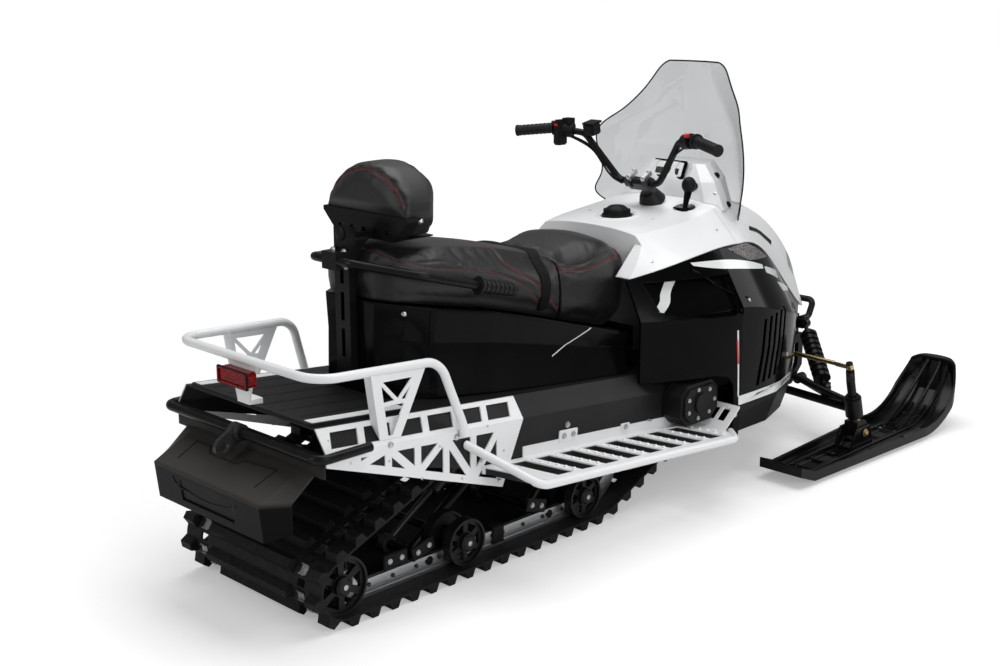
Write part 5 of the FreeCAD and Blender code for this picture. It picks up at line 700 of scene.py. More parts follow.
def two_sides(points):
    """Points and their mirror images."""
    return [(x, side * y, z) for x, y, z in points for side in (1, -1)]


def two_lines(tree, points):
    """A line laid on a surface on both sides."""
    return [laid(tree, [(x, side * y, z) for x, y, z in points]) for side in (1, -1)]


# Cushions: swollen by a cloth simulation, then sewn
voxel_size = 7.0 * mm
cushion_shrink = 3.0 * mm
cushion_pressure = 4.0
cloth_quality = 3
sim_frames = 14
relax_factor = 0.5
relax_repeats = 3
contact_gap = 6.0 * mm
contact_fade = 18.0 * mm
contact_share = 0.6
fine_steps = 24
seam_width = 9.0 * mm
seam_depth = 3.2 * mm
seam_pitch = 3.0 * mm
stitch_apart = 3.5 * mm
stitch_pitch = 6.0 * mm
stitch_length = 4.2 * mm
stitch_radius = 0.55 * mm
stitch_lift_share = 1 / 4


def apply_modifiers(piece):
    """Makes a piece's shown shape its mesh."""
    shown = bpy.data.meshes.new_from_object(piece.evaluated_get(bpy.context.evaluated_depsgraph_get()))
    piece.modifiers.clear()
    piece.data = shown


def move_along_normals(piece, amounts):
    """Moves each point out along its normal by its own amount."""
    normals = [vertex.normal.copy() for vertex in piece.data.vertices]
    for vertex, normal, amount in zip(piece.data.vertices, normals, amounts):
        vertex.co = vertex.co + normal * amount


def cushion_start(name, node):
    """A close copy of a CAD cushion as an even, slightly smaller skin."""
    piece = linked(name, nodes[node].data.copy())
    remesh = piece.modifiers.new("skin", "REMESH")
    remesh.mode = "VOXEL"
    remesh.voxel_size = voxel_size
    apply_modifiers(piece)
    move_along_normals(piece, [-cushion_shrink] * len(piece.data.vertices))
    return piece


def swell(piece):
    """Blows the skin up by cloth simulation."""
    cloth = piece.modifiers.new("cloth", "CLOTH")
    cloth.settings.use_pressure = True
    cloth.settings.uniform_pressure_force = cushion_pressure
    cloth.settings.effector_weights.gravity = 0.0
    cloth.settings.quality = cloth_quality
    cloth.collision_settings.use_collision = False
    cloth.point_cache.frame_start = 1
    cloth.point_cache.frame_end = sim_frames
    for step in range(1, sim_frames + 1):
        bpy.context.scene.frame_set(step)
    apply_modifiers(piece)
    bpy.context.scene.frame_set(1)


def cap_motion(piece, start, cap, neighbours):
    """Caps how far each point has moved, with no swelling where a neighbour touches the cushion."""
    tree = surface_tree(*neighbours)
    tight = cushion_shrink * contact_share
    for vertex, was in zip(piece.data.vertices, start):
        _, _, _, gap = tree.find_nearest(was)
        share = min(max((gap - contact_gap) / contact_fade, 0.0), 1.0)
        room = tight + (cap - tight) * share
        way = vertex.co - was
        if way.length > room:
            vertex.co = was + way * (room / way.length)


def relax(piece):
    """Evens the skin out."""
    soften = piece.modifiers.new("soften", "SMOOTH")
    soften.factor = relax_factor
    soften.iterations = relax_repeats
    apply_modifiers(piece)


def subdivide(piece):
    """Halves the skin's faces each way."""
    finer = piece.modifiers.new("finer", "SUBSURF")
    finer.levels = 1
    finer.render_levels = 1
    apply_modifiers(piece)
    piece.data.shade_smooth()


def fine_line(points, pitch):
    """Evenly spaced points along a smooth line."""
    line = smooth_line(points, fine_steps)
    out, travelled = [line[0]], 0.0
    for start, end in zip(line, line[1:]):
        way = (end - start).length
        while travelled + way >= pitch and way > 0:
            share = (pitch - travelled) / way
            start = start.lerp(end, share)
            out.append(start)
            way = (end - start).length
            travelled = 0.0
        travelled += way
    return out


def sew(piece, seams):
    """Draws the skin in along its seams."""
    skin = surface_tree(piece.name)
    places = [skin.find_nearest(place)[0] for seam in seams for place in fine_line(seam, seam_pitch)]
    tree = KDTree(len(places))
    for index, place in enumerate(places):
        tree.insert(place, index)
    tree.balance()
    gaps = [tree.find(vertex.co)[2] for vertex in piece.data.vertices]
    move_along_normals(piece, [-seam_depth * max(1 - gap / seam_width, 0.0) ** 2 for gap in gaps])


def cushion(name, node, seams, cap, neighbours):
    """A cushion that stands for a CAD node: skin, cloth simulation, seams and a finer mesh."""
    piece = cushion_start(name, node)
    start = [vertex.co.copy() for vertex in piece.data.vertices]
    swell(piece)
    cap_motion(piece, start, cap, neighbours)
    relax(piece)
    subdivide(piece)
    sew(piece, seams)
    dressed(piece, "seat_vinyl")
    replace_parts(piece, node)
    return piece


def stitches(name, piece, line, apart):
    """Short stitches on the skin along a seam, with a row on each side where they stand apart."""
    tree = surface_tree(piece.name)
    shape = bmesh.new()
    places = fine_line(line, stitch_pitch)
    for start, end in zip(places, places[1:]):
        place, normal, _, _ = tree.find_nearest(start.lerp(end, 1 / 2))
        along = (end - start).normalized()
        across_way = normal.cross(along).normalized()
        for side in ((1, -1) if apart else (0,)):
            spot, up, _, _ = tree.find_nearest(place + across_way * (apart * side))
            foot = spot + up * (stitch_radius * stitch_lift_share) - along * (stitch_length / 2)
            add_cone(shape, foot, along, stitch_radius, stitch_radius, stitch_length, hexagon)
    mesh_piece(name, shape, "red_thread")


# Seats and backrest pad
seat_double_seam = [(-322, -184, 660), (-374, -191, 709), (-442, -194, 762), (-503, -193, 803),
                    (-544, -185, 833), (-551, -141, 863)]
seat_side_seam = [(-391, -187, 678), (-467, -199, 743), (-551, -200, 794), (-628, -197, 825),
                  (-721, -195, 844), (-835, -178, 863), (-904, -137, 886), (-914, -84, 897)]
rider_seam = [(-378, -178, 788), (-273, -177, 772), (-190, -184, 767), (-112, -180, 777), (15, -133, 791)]
passenger_fold = [(-731, -186, 863), (-795, -172, 872), (-858, -165, 878)]
rider_fold = [(-389, -164, 811), (-300, -166, 792), (-205, -177, 787), (-95, -169, 804)]
cushion_cap = 9.0 * mm
pad_cap = 14.0 * mm
pad_seam_inset = 17.0 * mm
pad_dome_share = 1.16
pad_seam_low_share = 0.45
pad_seam_steps = 8


def both(points):
    """A line and its mirror image."""
    return [[beside(side, *point) for point in points] for side in (1, -1)]


def over(points):
    """A line of the right side carried over to the left."""
    right, left = both(points)
    return right + left[::-1]


def pad_border():
    """The sewn border of the backrest pad's rear panel, round under its dome."""
    low, high = box("backrest_pad")
    half = high.y - pad_seam_inset
    radius = high.y * pad_dome_share - pad_seam_inset
    centre_z = high.z - high.y * pad_dome_share
    spread = math.asin(half / (radius + pad_seam_inset))
    side_z = low.z + (high.z - low.z) * pad_seam_low_share
    line = [Vector((low.x, -half, side_z))]
    for index in range(pad_seam_steps + 1):
        angle = -spread + 2 * spread * index / pad_seam_steps
        line.append(Vector((low.x, radius * math.sin(angle), centre_z + radius * math.cos(angle))))
    return line + [Vector((low.x, half, side_z))]


passenger_seams = [over(seat_side_seam), over(seat_double_seam), *both(passenger_fold)]
passenger = cushion("passenger_cushion", "seat_passenger", passenger_seams, cushion_cap,
                    ["seat_base", "seat_rider", "seat_strap", "backrest_frame", "grab_handle"])
rider = cushion("rider_cushion", "seat_rider", [over(rider_seam), *both(rider_fold)], cushion_cap,
                ["seat_base", "seat_passenger", "seat_strap", "fuel_console", "side_panels"])
pad = cushion("backrest_cushion", "backrest_pad", [pad_border()], pad_cap,
              ["backrest_frame", "seat_passenger"])
stitches("passenger_side_stitches", passenger, over(seat_side_seam), 0.0)
stitches("passenger_front_stitches", passenger, over(seat_double_seam), stitch_apart)
stitches("rider_stitches", rider, over(rider_seam), stitch_apart)
stitches("backrest_stitches", pad, pad_border(), stitch_apart)

# The strap over the seat
strap_steps = 60
strap_rows = 4
strap_reach = math.radians(99.0)
strap_bend_share = 0.12
strap_slide_share = 0.46
strap_top_x = -0.318
strap_foot_x = -0.394
strap_centre_z = 0.70
strap_width = 38.0 * mm
strap_thickness = 3.0 * mm


def strap_ring(skin, share):
    """The strap's cross places, outward direction and reach at a share of its way from the middle."""
    away = Vector((0.0, math.sin(strap_reach * share), math.cos(strap_reach * share)))
    slid = min(max((abs(share) - strap_bend_share) / strap_slide_share, 0.0), 1.0)
    middle_x = strap_top_x + (strap_foot_x - strap_top_x) * slid * slid * (3 - 2 * slid)
    centres = [Vector((middle_x + strap_width * (row / strap_rows - 1 / 2), 0.0, strap_centre_z))
               for row in range(strap_rows + 1)]
    hits = [skin.ray_cast(centre + away * cast_reach, -away) for centre in centres]
    return centres, away, max(cast_reach - hit[3] if hit[0] is not None else 0.0 for hit in hits)


def seat_strap():
    """The webbing strap over the seat, taut round both cushions and slanting to the base on each side."""
    skin = surface_tree("passenger_cushion", "rider_cushion", "seat_base")
    rings = [strap_ring(skin, 2 * index / strap_steps - 1) for index in range(strap_steps + 1)]
    outer, inner = [], []
    for index, (centres, away, _) in enumerate(rings):
        near = [reach for _, _, reach in rings[max(index - 1, 0):index + 2]]
        radius = sum(near) / len(near)
        outer.append([centre + away * (radius + strap_thickness) for centre in centres])
        inner.append([centre + away * radius for centre in centres])
    shape = bmesh.new()
    add_plate(shape, outer, inner)
    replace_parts(mesh_piece("strap_band", shape, "strap_webbing"), "seat_strap")


seat_strap()

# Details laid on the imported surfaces
patch_thickness = 0.7 * mm
patch_lift = 0.6 * mm
upper_patch_lift = 1.4 * mm
patch_join = 0.05 * mm
patch_sink = -1.0 * mm
patch_steps = 10
patch_rows = 4


def patch(name, tree, edge_a, edge_b, way, finish, lift=patch_lift):
    """A thin plate laid on a surface between two edges, cast along a direction."""
    away = Vector(way).normalized()
    top, foot = [], []
    place, normal = None, None
    for a, b in zip(smooth_line(edge_a, patch_steps), smooth_line(edge_b, patch_steps)):
        column, under = [], []
        for row in range(patch_rows + 1):
            hit, facing, _, _ = tree.ray_cast(a.lerp(b, row / patch_rows) - away * cast_reach, away)
            if hit is not None:
                place, normal = hit, facing
            column.append(place + normal * (lift + patch_thickness))
            under.append(place + normal * patch_sink)
        top.append(column)
        foot.append(under)
    shape = bmesh.new()
    add_plate(shape, top, foot)
    bmesh.ops.dissolve_degenerate(shape, dist=patch_join, edges=shape.edges)
    return mesh_piece(name, shape, finish)


def side_patches(name, tree, edges, finish, lift=patch_lift):
    """A patch on each side, between two edges of X and Z."""
    edge_a, edge_b = ([at(x, 0, z) for x, z in edge] for edge in edges)
    for side, word in ((-1, "right"), (1, "left")):
        patch(f"{name}_{word}", tree, edge_a, edge_b, y_way * -side, finish, lift)


# The bead round the windshield
screen_bead = 2.6 * mm
sharp_rim = math.radians(50.0)
rim_join = 0.02 * mm


def longest_rim(node):
    """The longest closed line along a node's sharp rims."""
    shape = bmesh.new()
    shape.from_mesh(nodes[node].data)
    bmesh.ops.remove_doubles(shape, verts=shape.verts, dist=rim_join)
    links = {}
    for edge in shape.edges:
        if len(edge.link_faces) == 2 and edge.calc_face_angle() > sharp_rim:
            a, b = edge.verts
            links.setdefault(a.index, []).append(b.index)
            links.setdefault(b.index, []).append(a.index)
    places = {v.index: v.co.copy() for v in shape.verts}
    shape.free()
    loops, used = [], set()
    for start in links:
        loop, here = [], start
        while here is not None and here not in used:
            used.add(here)
            loop.append(places[here])
            here = next((n for n in links[here] if n not in used), None)
        loops.append(loop)
    return max(loops, key=len)


def screen_edge():
    """The black bead round the screen's edge."""
    shape = bmesh.new()
    ceiling = cad_box[1][2] - screen_bead
    outline = [Vector((place.x, place.y, min(place.z, ceiling))) for place in longest_rim("windshield")]
    add_tube(shape, outline, screen_bead, thin_tube_sides, closed=True)
    mesh_piece("screen_edge", shape, "black_moulding")


# Bands and vents on the panels: their two edges as X and Z in millimetres
front_skin = surface_tree("side_panels", "front_panels", "hood", "belly_pan")
white_bands = {
    "upper_stripe": ([(133, 747), (216, 731), (358, 710), (500, 687)],
                     [(126, 757), (268, 750), (400, 727), (505, 698)]),
    "upper_tick": ([(522, 690), (600, 668), (668, 648)], [(514, 672), (585, 648), (640, 628)]),
    "nose_tick": ([(600, 626), (720, 592), (830, 556)], [(640, 588), (740, 566), (806, 546)]),
    "pocket_band": ([(-28, 624), (0, 650), (12, 674), (42, 712)],
                    [(2, 618), (30, 644), (46, 676), (76, 708)]),
    "lower_stripe": ([(258, 292), (450, 286), (655, 284)], [(256, 322), (450, 318), (663, 306)]),
    # A white line painted as the highlight along the door's seam
    "door_painted_highlight": ([(238, 540), (246, 430), (252, 322)], [(244, 540), (252, 430), (258, 322)]),
}
door_accent = ([(236, 508), (240, 470), (244, 430)], [(243, 508), (247, 470), (251, 430)])
bar_count = 5
bar_start = 545
bar_pitch = 22
bar_width = 9
bar_edge = [(0, 290), (5, 296), (10, 303)]
side_vent = ([(312, 776), (360, 752), (412, 727)], [(440, 779), (530, 742), (606, 704)])
hood_vent = ([(548, 797), (650, 768), (764, 711)], [(570, 806), (668, 776), (780, 722)])
latch_line = [(120, -332, 736), (170, -345, 706), (222, -359, 676), (309, -415, 630)]
latch_radius = 5.0 * mm
panel_screw_marks = [(309, -415, 624), (272, -416, 600), (578, -396, 392), (245, -428, 262)]
panel_screw = 8.0 * mm


def panel_graphics():
    """White and red bands on the gloss panels, with nothing written on them, and a white line painted as the
    highlight along the door's seam.
    """
    for name, edges in white_bands.items():
        side_patches(name, front_skin, edges, "white_film_and_painted_highlight")
    side_patches("door_accent", front_skin, door_accent, "red_film", upper_patch_lift)
    for index in range(bar_count):
        edge = [(bar_start + index * bar_pitch + x, z) for x, z in bar_edge]
        edges = (edge, [(x + bar_width, z) for x, z in edge])
        side_patches(f"stripe_bar_{index}", front_skin, edges, "black_gloss_panel", upper_patch_lift)


def panel_trims():
    """The moulded vents, the raised trim above the pocket and the panels' screws."""
    side_patches("side_vent", front_skin, side_vent, "vent_mesh")
    side_patches("hood_vent", front_skin, hood_vent, "black_gloss_panel")
    tube_piece("latch_trim", two_lines(front_skin, latch_line), latch_radius, "black_gloss_panel")
    rivets("panel_screws", seated(front_skin, two_sides(panel_screw_marks)), panel_screw)


# The gauge on the dash pod
gauge_place = (452, 25, 985)
gauge_tilt = math.radians(24.3)
gauge_size = (140.0 * mm, 66.0 * mm, 12.0 * mm)
gauge_panel = (122.0 * mm, 50.0 * mm, 3.0 * mm)
gauge_glass = (96.0 * mm, 22.0 * mm, 6.0 * mm)
gauge_drop = 8.0 * mm
gauge_bevel = 4.0 * mm
panel_bevel = 1.0 * mm


def gauge():
    """The gauge's bezel, its pale panel and the dark glass low on it."""
    middle = at(*gauge_place)
    facing = Vector((-math.cos(gauge_tilt), 0.0, math.sin(gauge_tilt)))
    front = middle + facing * (gauge_size[2] / 2)
    low = front + facing.cross(y_way) * gauge_drop
    blocks("gauge_bezel", [(middle, y_way, facing)], gauge_size, gauge_bevel, "black_gloss_panel")
    blocks("gauge_panel", [(front, y_way, facing)], gauge_panel, panel_bevel, "white_moulding")
    blocks("gauge_face", [(low, y_way, facing)], gauge_glass, panel_bevel, "gauge_glass")


# Fasteners of the pod, the screen and the console
key_mark = [(431, -106, 940)]
key_radius = 13.0 * mm
pod_marks = [(437, -179, 924), (446, -196, 884)]
knob_marks = [(490, -200, 886), (505, -150, 985)]
console_marks = [(12, -260, 768), (172, -131, 864), (330, -262, 820)]
pod_screw = 5.0 * mm
screen_knob = 9.0 * mm
console_skin = surface_tree("fuel_console", "hood")


def dash_fasteners():
    """The key switch, the screen's knobs and the screws of the pod and the console."""
    pod = surface_tree("dash_pod")
    rivets("key_switch", seated(pod, key_mark), key_radius, "black_moulding")
    rivets("key_barrel", seated(pod, key_mark), key_radius / 2)
    rivets("pod_screws", seated(pod, two_sides(pod_marks)), pod_screw)
    bolts("screen_knobs", seated(pod, two_sides(knob_marks)), screen_knob, "black_moulding")
    rivets("console_screws", seated(console_skin, two_sides(console_marks)), pod_screw)


# The fuel cap's dish and ribs
dish_points = 40
dish_radius = 66.0 * mm
dish_bead = 4.0 * mm
cap_ribs = 26
cap_rib = (5.0 * mm, 4.0 * mm, 22.0 * mm)
cap_rib_radius = 41.5 * mm
cap_rib_drop = 4.0 * mm
cap_rib_bevel = 1.0 * mm


def fuel_cap_details():
    """The bead of the dish round the cap, and the grip ribs on the cap's edge."""
    low, high = box("fuel_cap")
    middle = (low + high) / 2
    spots = [middle + Vector((cosine, sine, 0.0)) * dish_radius for cosine, sine in spokes(dish_points)]
    shape = bmesh.new()
    add_tube(shape, [cast_down(console_skin, spot)[0] for spot in spots], dish_bead, closed=True)
    mesh_piece("cap_dish", shape, "white_moulding")
    outs = [Vector((cosine, sine, 0.0)) for cosine, sine in spokes(cap_ribs)]
    ribs = [(middle + out * cap_rib_radius - z_way * cap_rib_drop, out, z_way) for out in outs]
    blocks("cap_ribs", ribs, cap_rib, cap_rib_bevel, "black_moulding")


# The shift lever's knob and base
knob_ball = 24.0 * mm
knob_sink_share = 0.8
knob_stretch_share = 1.15
knob_rounds = 3
shift_base = (84.0 * mm, 60.0 * mm, 20.0 * mm)
shift_bevel = 7.0 * mm


def shift_details():
    """The ball on the shift lever and the moulded base under it."""
    low, high = box("shift_lever")
    tops = [vertex.co for vertex in nodes["shift_lever"].data.vertices if vertex.co.z > high.z - knob_ball]
    crown = sum(tops, Vector()) / len(tops)
    centre = Matrix.Translation((crown.x, crown.y, high.z - knob_ball * knob_sink_share))
    shape = bmesh.new()
    bmesh.ops.create_icosphere(shape, subdivisions=knob_rounds, radius=knob_ball,
                               matrix=centre @ Matrix.Diagonal((1.0, 1.0, knob_stretch_share, 1.0)))
    mesh_piece("shift_knob", shape, "black_moulding")
    spot, facing = cast_down(console_skin, Vector(((low.x + high.x) / 2, (low.y + high.y) / 2, low.z)))
    blocks("shift_base", [(spot, x_way, facing)], shift_base, shift_bevel, "black_gloss_panel")


# The handlebar's clamps, switches, brake reservoir and cables
column_lean = math.radians(35.0)
clamp_places = [(262, 30, 1000), (262, -30, 1000)]
clamp_size = (46.0 * mm, 16.0 * mm, 20.0 * mm)
clamp_bevel = 2.0 * mm
clamp_bolt = 4.5 * mm
clamp_bolt_shares = (1 / 3, -1 / 3)
stop_place = (150, -285, 1150)
left_stop_place = (155, 268, 1138)
stop_size = (18.0 * mm, 12.0 * mm, 14.0 * mm)
switch_place = (172, 268, 1112)
switch_size = (30.0 * mm, 44.0 * mm, 84.0 * mm)
reservoir_place = (216, 168, 1128)
reservoir_size = (46.0 * mm, 44.0 * mm, 40.0 * mm)
reservoir_bevel = 5.0 * mm
reservoir_lean_share = 0.2
reservoir_neck = 9.0 * mm
lid_size = (50.0 * mm, 48.0 * mm, 7.0 * mm)
cable_radius = 3.2 * mm
cable_gaps = (0, 26)
cable_route = [(175, 300, 1110), (190, 260, 1100), (215, 205, 1060), (238, 150, 1010), (248, 110, 985),
               (250, 60, 970)]


def bar_clamps():
    """The two clamps that hold the bar to the column, with two bolts each."""
    along = Vector((math.cos(column_lean), 0.0, math.sin(column_lean)))
    up = Vector((-math.sin(column_lean), 0.0, math.cos(column_lean)))
    places = laid(surface_tree("steering_column"), clamp_places)
    blocks("bar_clamps", [(place, along, up) for place in places], clamp_size, clamp_bevel, "clear_zinc",
           "handlebar")
    top = up * (clamp_size[2] / 2)
    heads = [(place + along * (clamp_size[0] * share) + top, up)
             for place in places for share in clamp_bolt_shares]
    bolts("clamp_bolts", heads, clamp_bolt, body="handlebar")


def bar_switches():
    """The red stop switches and the left hand's block of switches."""
    stops = seated(surface_tree("bar_controls"), [stop_place]) + [(at(*left_stop_place), -x_way)]
    blocks("stop_switches", [(place, y_way, facing) for place, facing in stops], stop_size, clamp_bevel,
           "red_switch", "handlebar")
    blocks("switch_block", [(at(*switch_place), y_way, z_way)], switch_size, reservoir_bevel,
           "black_moulding", "handlebar")


def brake_reservoir(bar):
    """The brake's reservoir on its neck, leaning a little, with a flat lid."""
    spot = at(*reservoir_place)
    along = x_way + z_way * reservoir_lean_share
    up = z_way - x_way * reservoir_lean_share
    foot = bar.find_nearest(spot)[0]
    neck = [foot, foot.lerp(spot, 1 / 2), spot]
    tube_piece("reservoir_neck", [neck], reservoir_neck, "black_moulding", "handlebar")
    blocks("brake_reservoir", [(spot, along, up)], reservoir_size, reservoir_bevel, "black_moulding",
           "handlebar")
    lid = spot + z_way * (reservoir_size[2] / 2)
    blocks("reservoir_lid", [(lid, along, up)], lid_size, clamp_bevel, "black_moulding", "handlebar")


def bar_cables(bar):
    """Two cables along each half of the bar."""
    shift = Vector((-cable_radius, 0.0, -cable_radius))
    routes = []
    for side in (1, -1):
        for gap in cable_gaps:
            line = laid(bar, [(x - gap, side * y, z - gap) for x, y, z in cable_route])
            routes.append([place + shift for place in line])
    tube_piece("bar_cables", routes, cable_radius, "black_moulding", "handlebar", thin_tube_sides)


# The track's clips: rollers as X, Z and radius in millimetres
belt_rollers = [(-255, 178, 150), (90, 256, 85), (-701, 346, 65), (-1240, 108, 80)]
belt_thickness = 6
lug_pitch = 68.0 * mm
window_y = 215.0 * mm
clip_plate = (26.0 * mm, 26.0 * mm, 1.6 * mm)
clip_lip = (3.0 * mm, 26.0 * mm, 6.0 * mm)
clip_bevel = 0.5 * mm
clip_lift_share = 1 / 3


def belt_places():
    """The place, outward direction and running direction of each web between two drive windows."""
    circles = [(x * mm, z * mm, (radius + belt_thickness) * mm) for x, z, radius in belt_rollers]
    runs = []
    for (x0, z0, r0), (x1, z1, r1) in zip(circles, circles[1:] + circles[:1]):
        heading = math.atan2(z1 - z0, x1 - x0) + math.asin((r0 - r1) / math.hypot(x1 - x0, z1 - z0))
        nx, nz = math.sin(heading), -math.cos(heading)
        runs.append((Vector((x0 + nx * r0, 0.0, z0 + nz * r0)), Vector((x1 + nx * r1, 0.0, z1 + nz * r1))))
    parts = []
    for index, (start, end) in enumerate(runs):
        parts.append(("run", start, end, (end - start).length))
        x, z, radius = circles[(index + 1) % len(circles)]
        following = runs[(index + 1) % len(runs)][0]
        a0 = math.atan2(end.z - z, end.x - x)
        a1 = math.atan2(following.z - z, following.x - x)
        a1 += turn if a1 < a0 else 0.0
        parts.append(("arc", Vector((x, 0.0, z)), (a0, a1), radius * (a1 - a0)))
    length = sum(part[-1] for part in parts)
    count = int(length / lug_pitch)
    return [belt_place(parts, length * index / count) for index in range(count)]


def belt_place(parts, along):
    """One place at a distance along the belt's runs and arcs."""
    for kind, first, second, length in parts:
        if along <= length:
            break
        along -= length
    if kind == "run":
        ahead = (second - first).normalized()
        return first + ahead * along, Vector((ahead.z, 0.0, -ahead.x)), ahead
    swept = second[1] - second[0]
    angle = second[0] + swept * along / length
    outward = Vector((math.cos(angle), 0.0, math.sin(angle)))
    return first + outward * (length / swept), outward, Vector((-outward.z, 0.0, outward.x))


def track_clips():
    """Bright steel clips on the webs between the drive windows, with turned-up ends."""
    shape = bmesh.new()
    for place, outward, ahead in belt_places():
        for side in (1, -1):
            middle = place + y_way * (side * window_y) + outward * (clip_plate[2] / 2)
            add_block(shape, middle, ahead, outward, clip_plate, clip_bevel)
            for end in (1, -1):
                lip = middle + ahead * (end * clip_plate[0] / 2) + outward * (clip_lip[2] * clip_lift_share)
                add_block(shape, lip, ahead, outward, clip_lip, clip_bevel)
    mesh_piece("track_clips", shape, "clip_steel")


# The skid's bolts, hub caps, clamps and brackets
rail_bolt_xs = range(-1120, -330, 84)
rail_bolt_z = 60.0 * mm
rail_bolt = 5.5 * mm
wheel_centres = [(-1240, 108), (-800, 96), (-303, 96)]
wheel_bolt = 8.0 * mm
hub_cap = 24.0 * mm
hub_share = 0.8
hub_height = 5.0 * mm
rail_clamp_place = (-640, 228, 62)
rail_clamp_size = (46.0 * mm, 30.0 * mm, 52.0 * mm)
bracket_places = [(-1030, 0.0), (-930, 0.25), (-480, -0.3)]
bracket_y = 240
bracket_z = 106
bracket_size = (84.0 * mm, 40.0 * mm, 6.0 * mm)
bracket_bolt = 6.0 * mm
bracket_bolt_shares = (1 / 4, -1 / 4)
case_bolts = 7
case_ring_share = 0.72
case_bolt = 5.0 * mm


def side_hits(tree, spots, sides=(1, -1)):
    """The places and directions where rays from the sides meet a surface, at spots of X and Z in metres."""
    hits = [cast_side(tree, x, z, side) for x, z in spots for side in sides]
    return [hit for hit in hits if hit[0] is not None]


def skid_details():
    """The rails' bolts, the wheels' bolts and caps, and the clamps on the rails."""
    rail_spots = [(x * mm, rail_bolt_z) for x in rail_bolt_xs]
    bolts("rail_bolts", side_hits(surface_tree("slide_rails"), rail_spots), rail_bolt, "dark_coated_steel")
    hubs = side_hits(surface_tree("rear_idlers", "rail_wheels"), [(x * mm, z * mm) for x, z in wheel_centres])
    bolts("wheel_bolts", hubs, wheel_bolt)
    shape = bmesh.new()
    for place, normal in hubs:
        add_cone(shape, place - normal * bolt_sink, normal, hub_cap, hub_cap * hub_share,
                 bolt_sink + hub_height, round_sides)
    mesh_piece("hub_caps", shape, "wheel_plastic")
    clamps = [(beside(side, *rail_clamp_place), x_way, z_way) for side in (1, -1)]
    blocks("rail_clamps", clamps, rail_clamp_size, clamp_bevel, "black_moulding")


def skid_brackets():
    """Black brackets on the rails, each held by two zinc bolts."""
    places = [(at(x, side * bracket_y, bracket_z), x_way + z_way * lean, y_way * side)
              for x, lean in bracket_places for side in (1, -1)]
    blocks("rail_brackets", places, bracket_size, clamp_bevel, "black_powder_coat")
    heads = [(place + along.normalized() * (bracket_size[0] * share) + up * (bracket_size[2] / 2), up)
             for place, along, up in places for share in bracket_bolt_shares]
    bolts("bracket_bolts", heads, bracket_bolt)


def drive_case_bolts():
    """The ring of bolts on the drive case."""
    low, high = box("drive_case")
    middle = (low + high) / 2
    reach = (high - low) / 2 * case_ring_share
    spots = [(middle.x + reach.x * cosine, middle.z + reach.z * sine) for cosine, sine in spokes(case_bolts)]
    bolts("case_bolts", side_hits(surface_tree("drive_case"), spots, (-1,)), case_bolt)


# The snow flap and the tail lamp
flap_outline = [(-1421, 168, 388), (-1357, 174, 418), (-1357, 110, 418), (-1376, 88, 410), (-1376, -28, 410),
                (-1358, -50, 418), (-1351, -168, 421), (-1415, -161, 391)]
flap_smile = [(-1454, 150, 352), (-1450, 128, 330), (-1448, 70, 322), (-1446, 24, 317), (-1446, -20, 318),
              (-1448, -102, 330), (-1452, -128, 342)]
flap_edge = 2.0 * mm
flap_lip = 3.4 * mm
lamp_inset = 4.0 * mm
lamp_rim = 4.0 * mm


def flap_details():
    """The raised edge of the flap's panel and the lip under it."""
    flap = surface_tree("snow_flap")
    edge = []
    for first, second in zip(flap_outline, flap_outline[1:]):
        halfway = [(a + b) / 2 for a, b in zip(first, second)]
        edge.append(laid(flap, [first, halfway, second]))
    tube_piece("flap_panel_edge", edge, flap_edge, "black_moulding", sides=thin_tube_sides)
    lip = [place + x_way * (flap_lip / 2) for place in laid(flap, flap_smile)]
    tube_piece("flap_lip", [lip], flap_lip, "black_satin_panel")


def lamp_details():
    """The black rim round the tail lamp's lens."""
    low, high = box("tail_lamp")
    ring = [Vector((low.x + lamp_inset, y, z))
            for y, z in ((low.y, low.z), (high.y, low.z), (high.y, high.z), (low.y, high.z))]
    shape = bmesh.new()
    for first, second in zip(ring, ring[1:] + ring[:1]):
        add_tube(shape, [first, second], lamp_rim)
    mesh_piece("lamp_rim", shape, "black_moulding")


# Fasteners of the plates, the seat base and the backrest
plate_bolt_marks = [(-879, -322, 432), (-785, -322, 346), (-717, -322, 267), (-1109, -322, 466)]
plate_rivet_marks = [(-1292, -302, 516), (-1115, -322, 424), (-763, -322, 435), (-940, -322, 420),
                     (-1010, -322, 330), (-860, -322, 310), (-1240, -322, 450), (-700, -322, 350)]
base_screw_marks = [(-909, -154, 743)]
post_marks = [(-1000, -22, 905), (-1000, -22, 868)]
cradle_marks = [(-855, -180, 985)]
knob_mark = [(-1000, 0, 950)]
plate_bolt = 7.0 * mm
plate_rivet = 3.6 * mm
post_bolt = 7.2 * mm
knob_radius = 17.0 * mm
# A white line painted on the seat base as the highlight along its edge: its two edges as X and Z in
# millimetres
base_painted_highlight = ([(-412, 545), (-334, 574), (-262, 606)], [(-412, 548), (-334, 577), (-263, 609)])
base_seam_line = [(-850, -194, 530), (-850, -194, 640), (-850, -194, 748)]
crease_radius = 2.6 * mm
strip_end = 12.0 * mm
strip_insets = (8.0 * mm, 40.0 * mm)


def rear_fasteners():
    """Bolts and rivets of the side plates, the seat base and the backrest, and the backrest's height knob."""
    plates = surface_tree("side_plates")
    frame_skin = surface_tree("backrest_frame")
    bolts("plate_bolts", seated(plates, two_sides(plate_bolt_marks)), plate_bolt)
    rivets("plate_rivets", seated(plates, two_sides(plate_rivet_marks)), plate_rivet)
    rivets("base_screws", seated(surface_tree("seat_base"), two_sides(base_screw_marks)), plate_bolt)
    post_skin = surface_tree("grab_handle", "backrest_frame")
    bolts("post_bolts", seated(post_skin, two_sides(post_marks)), post_bolt)
    bolts("cradle_bolts", seated(frame_skin, two_sides(cradle_marks)), plate_bolt)
    knobs = [(place, -x_way) for place in laid(frame_skin, knob_mark)]
    rivets("backrest_knob", knobs, knob_radius, "black_moulding")


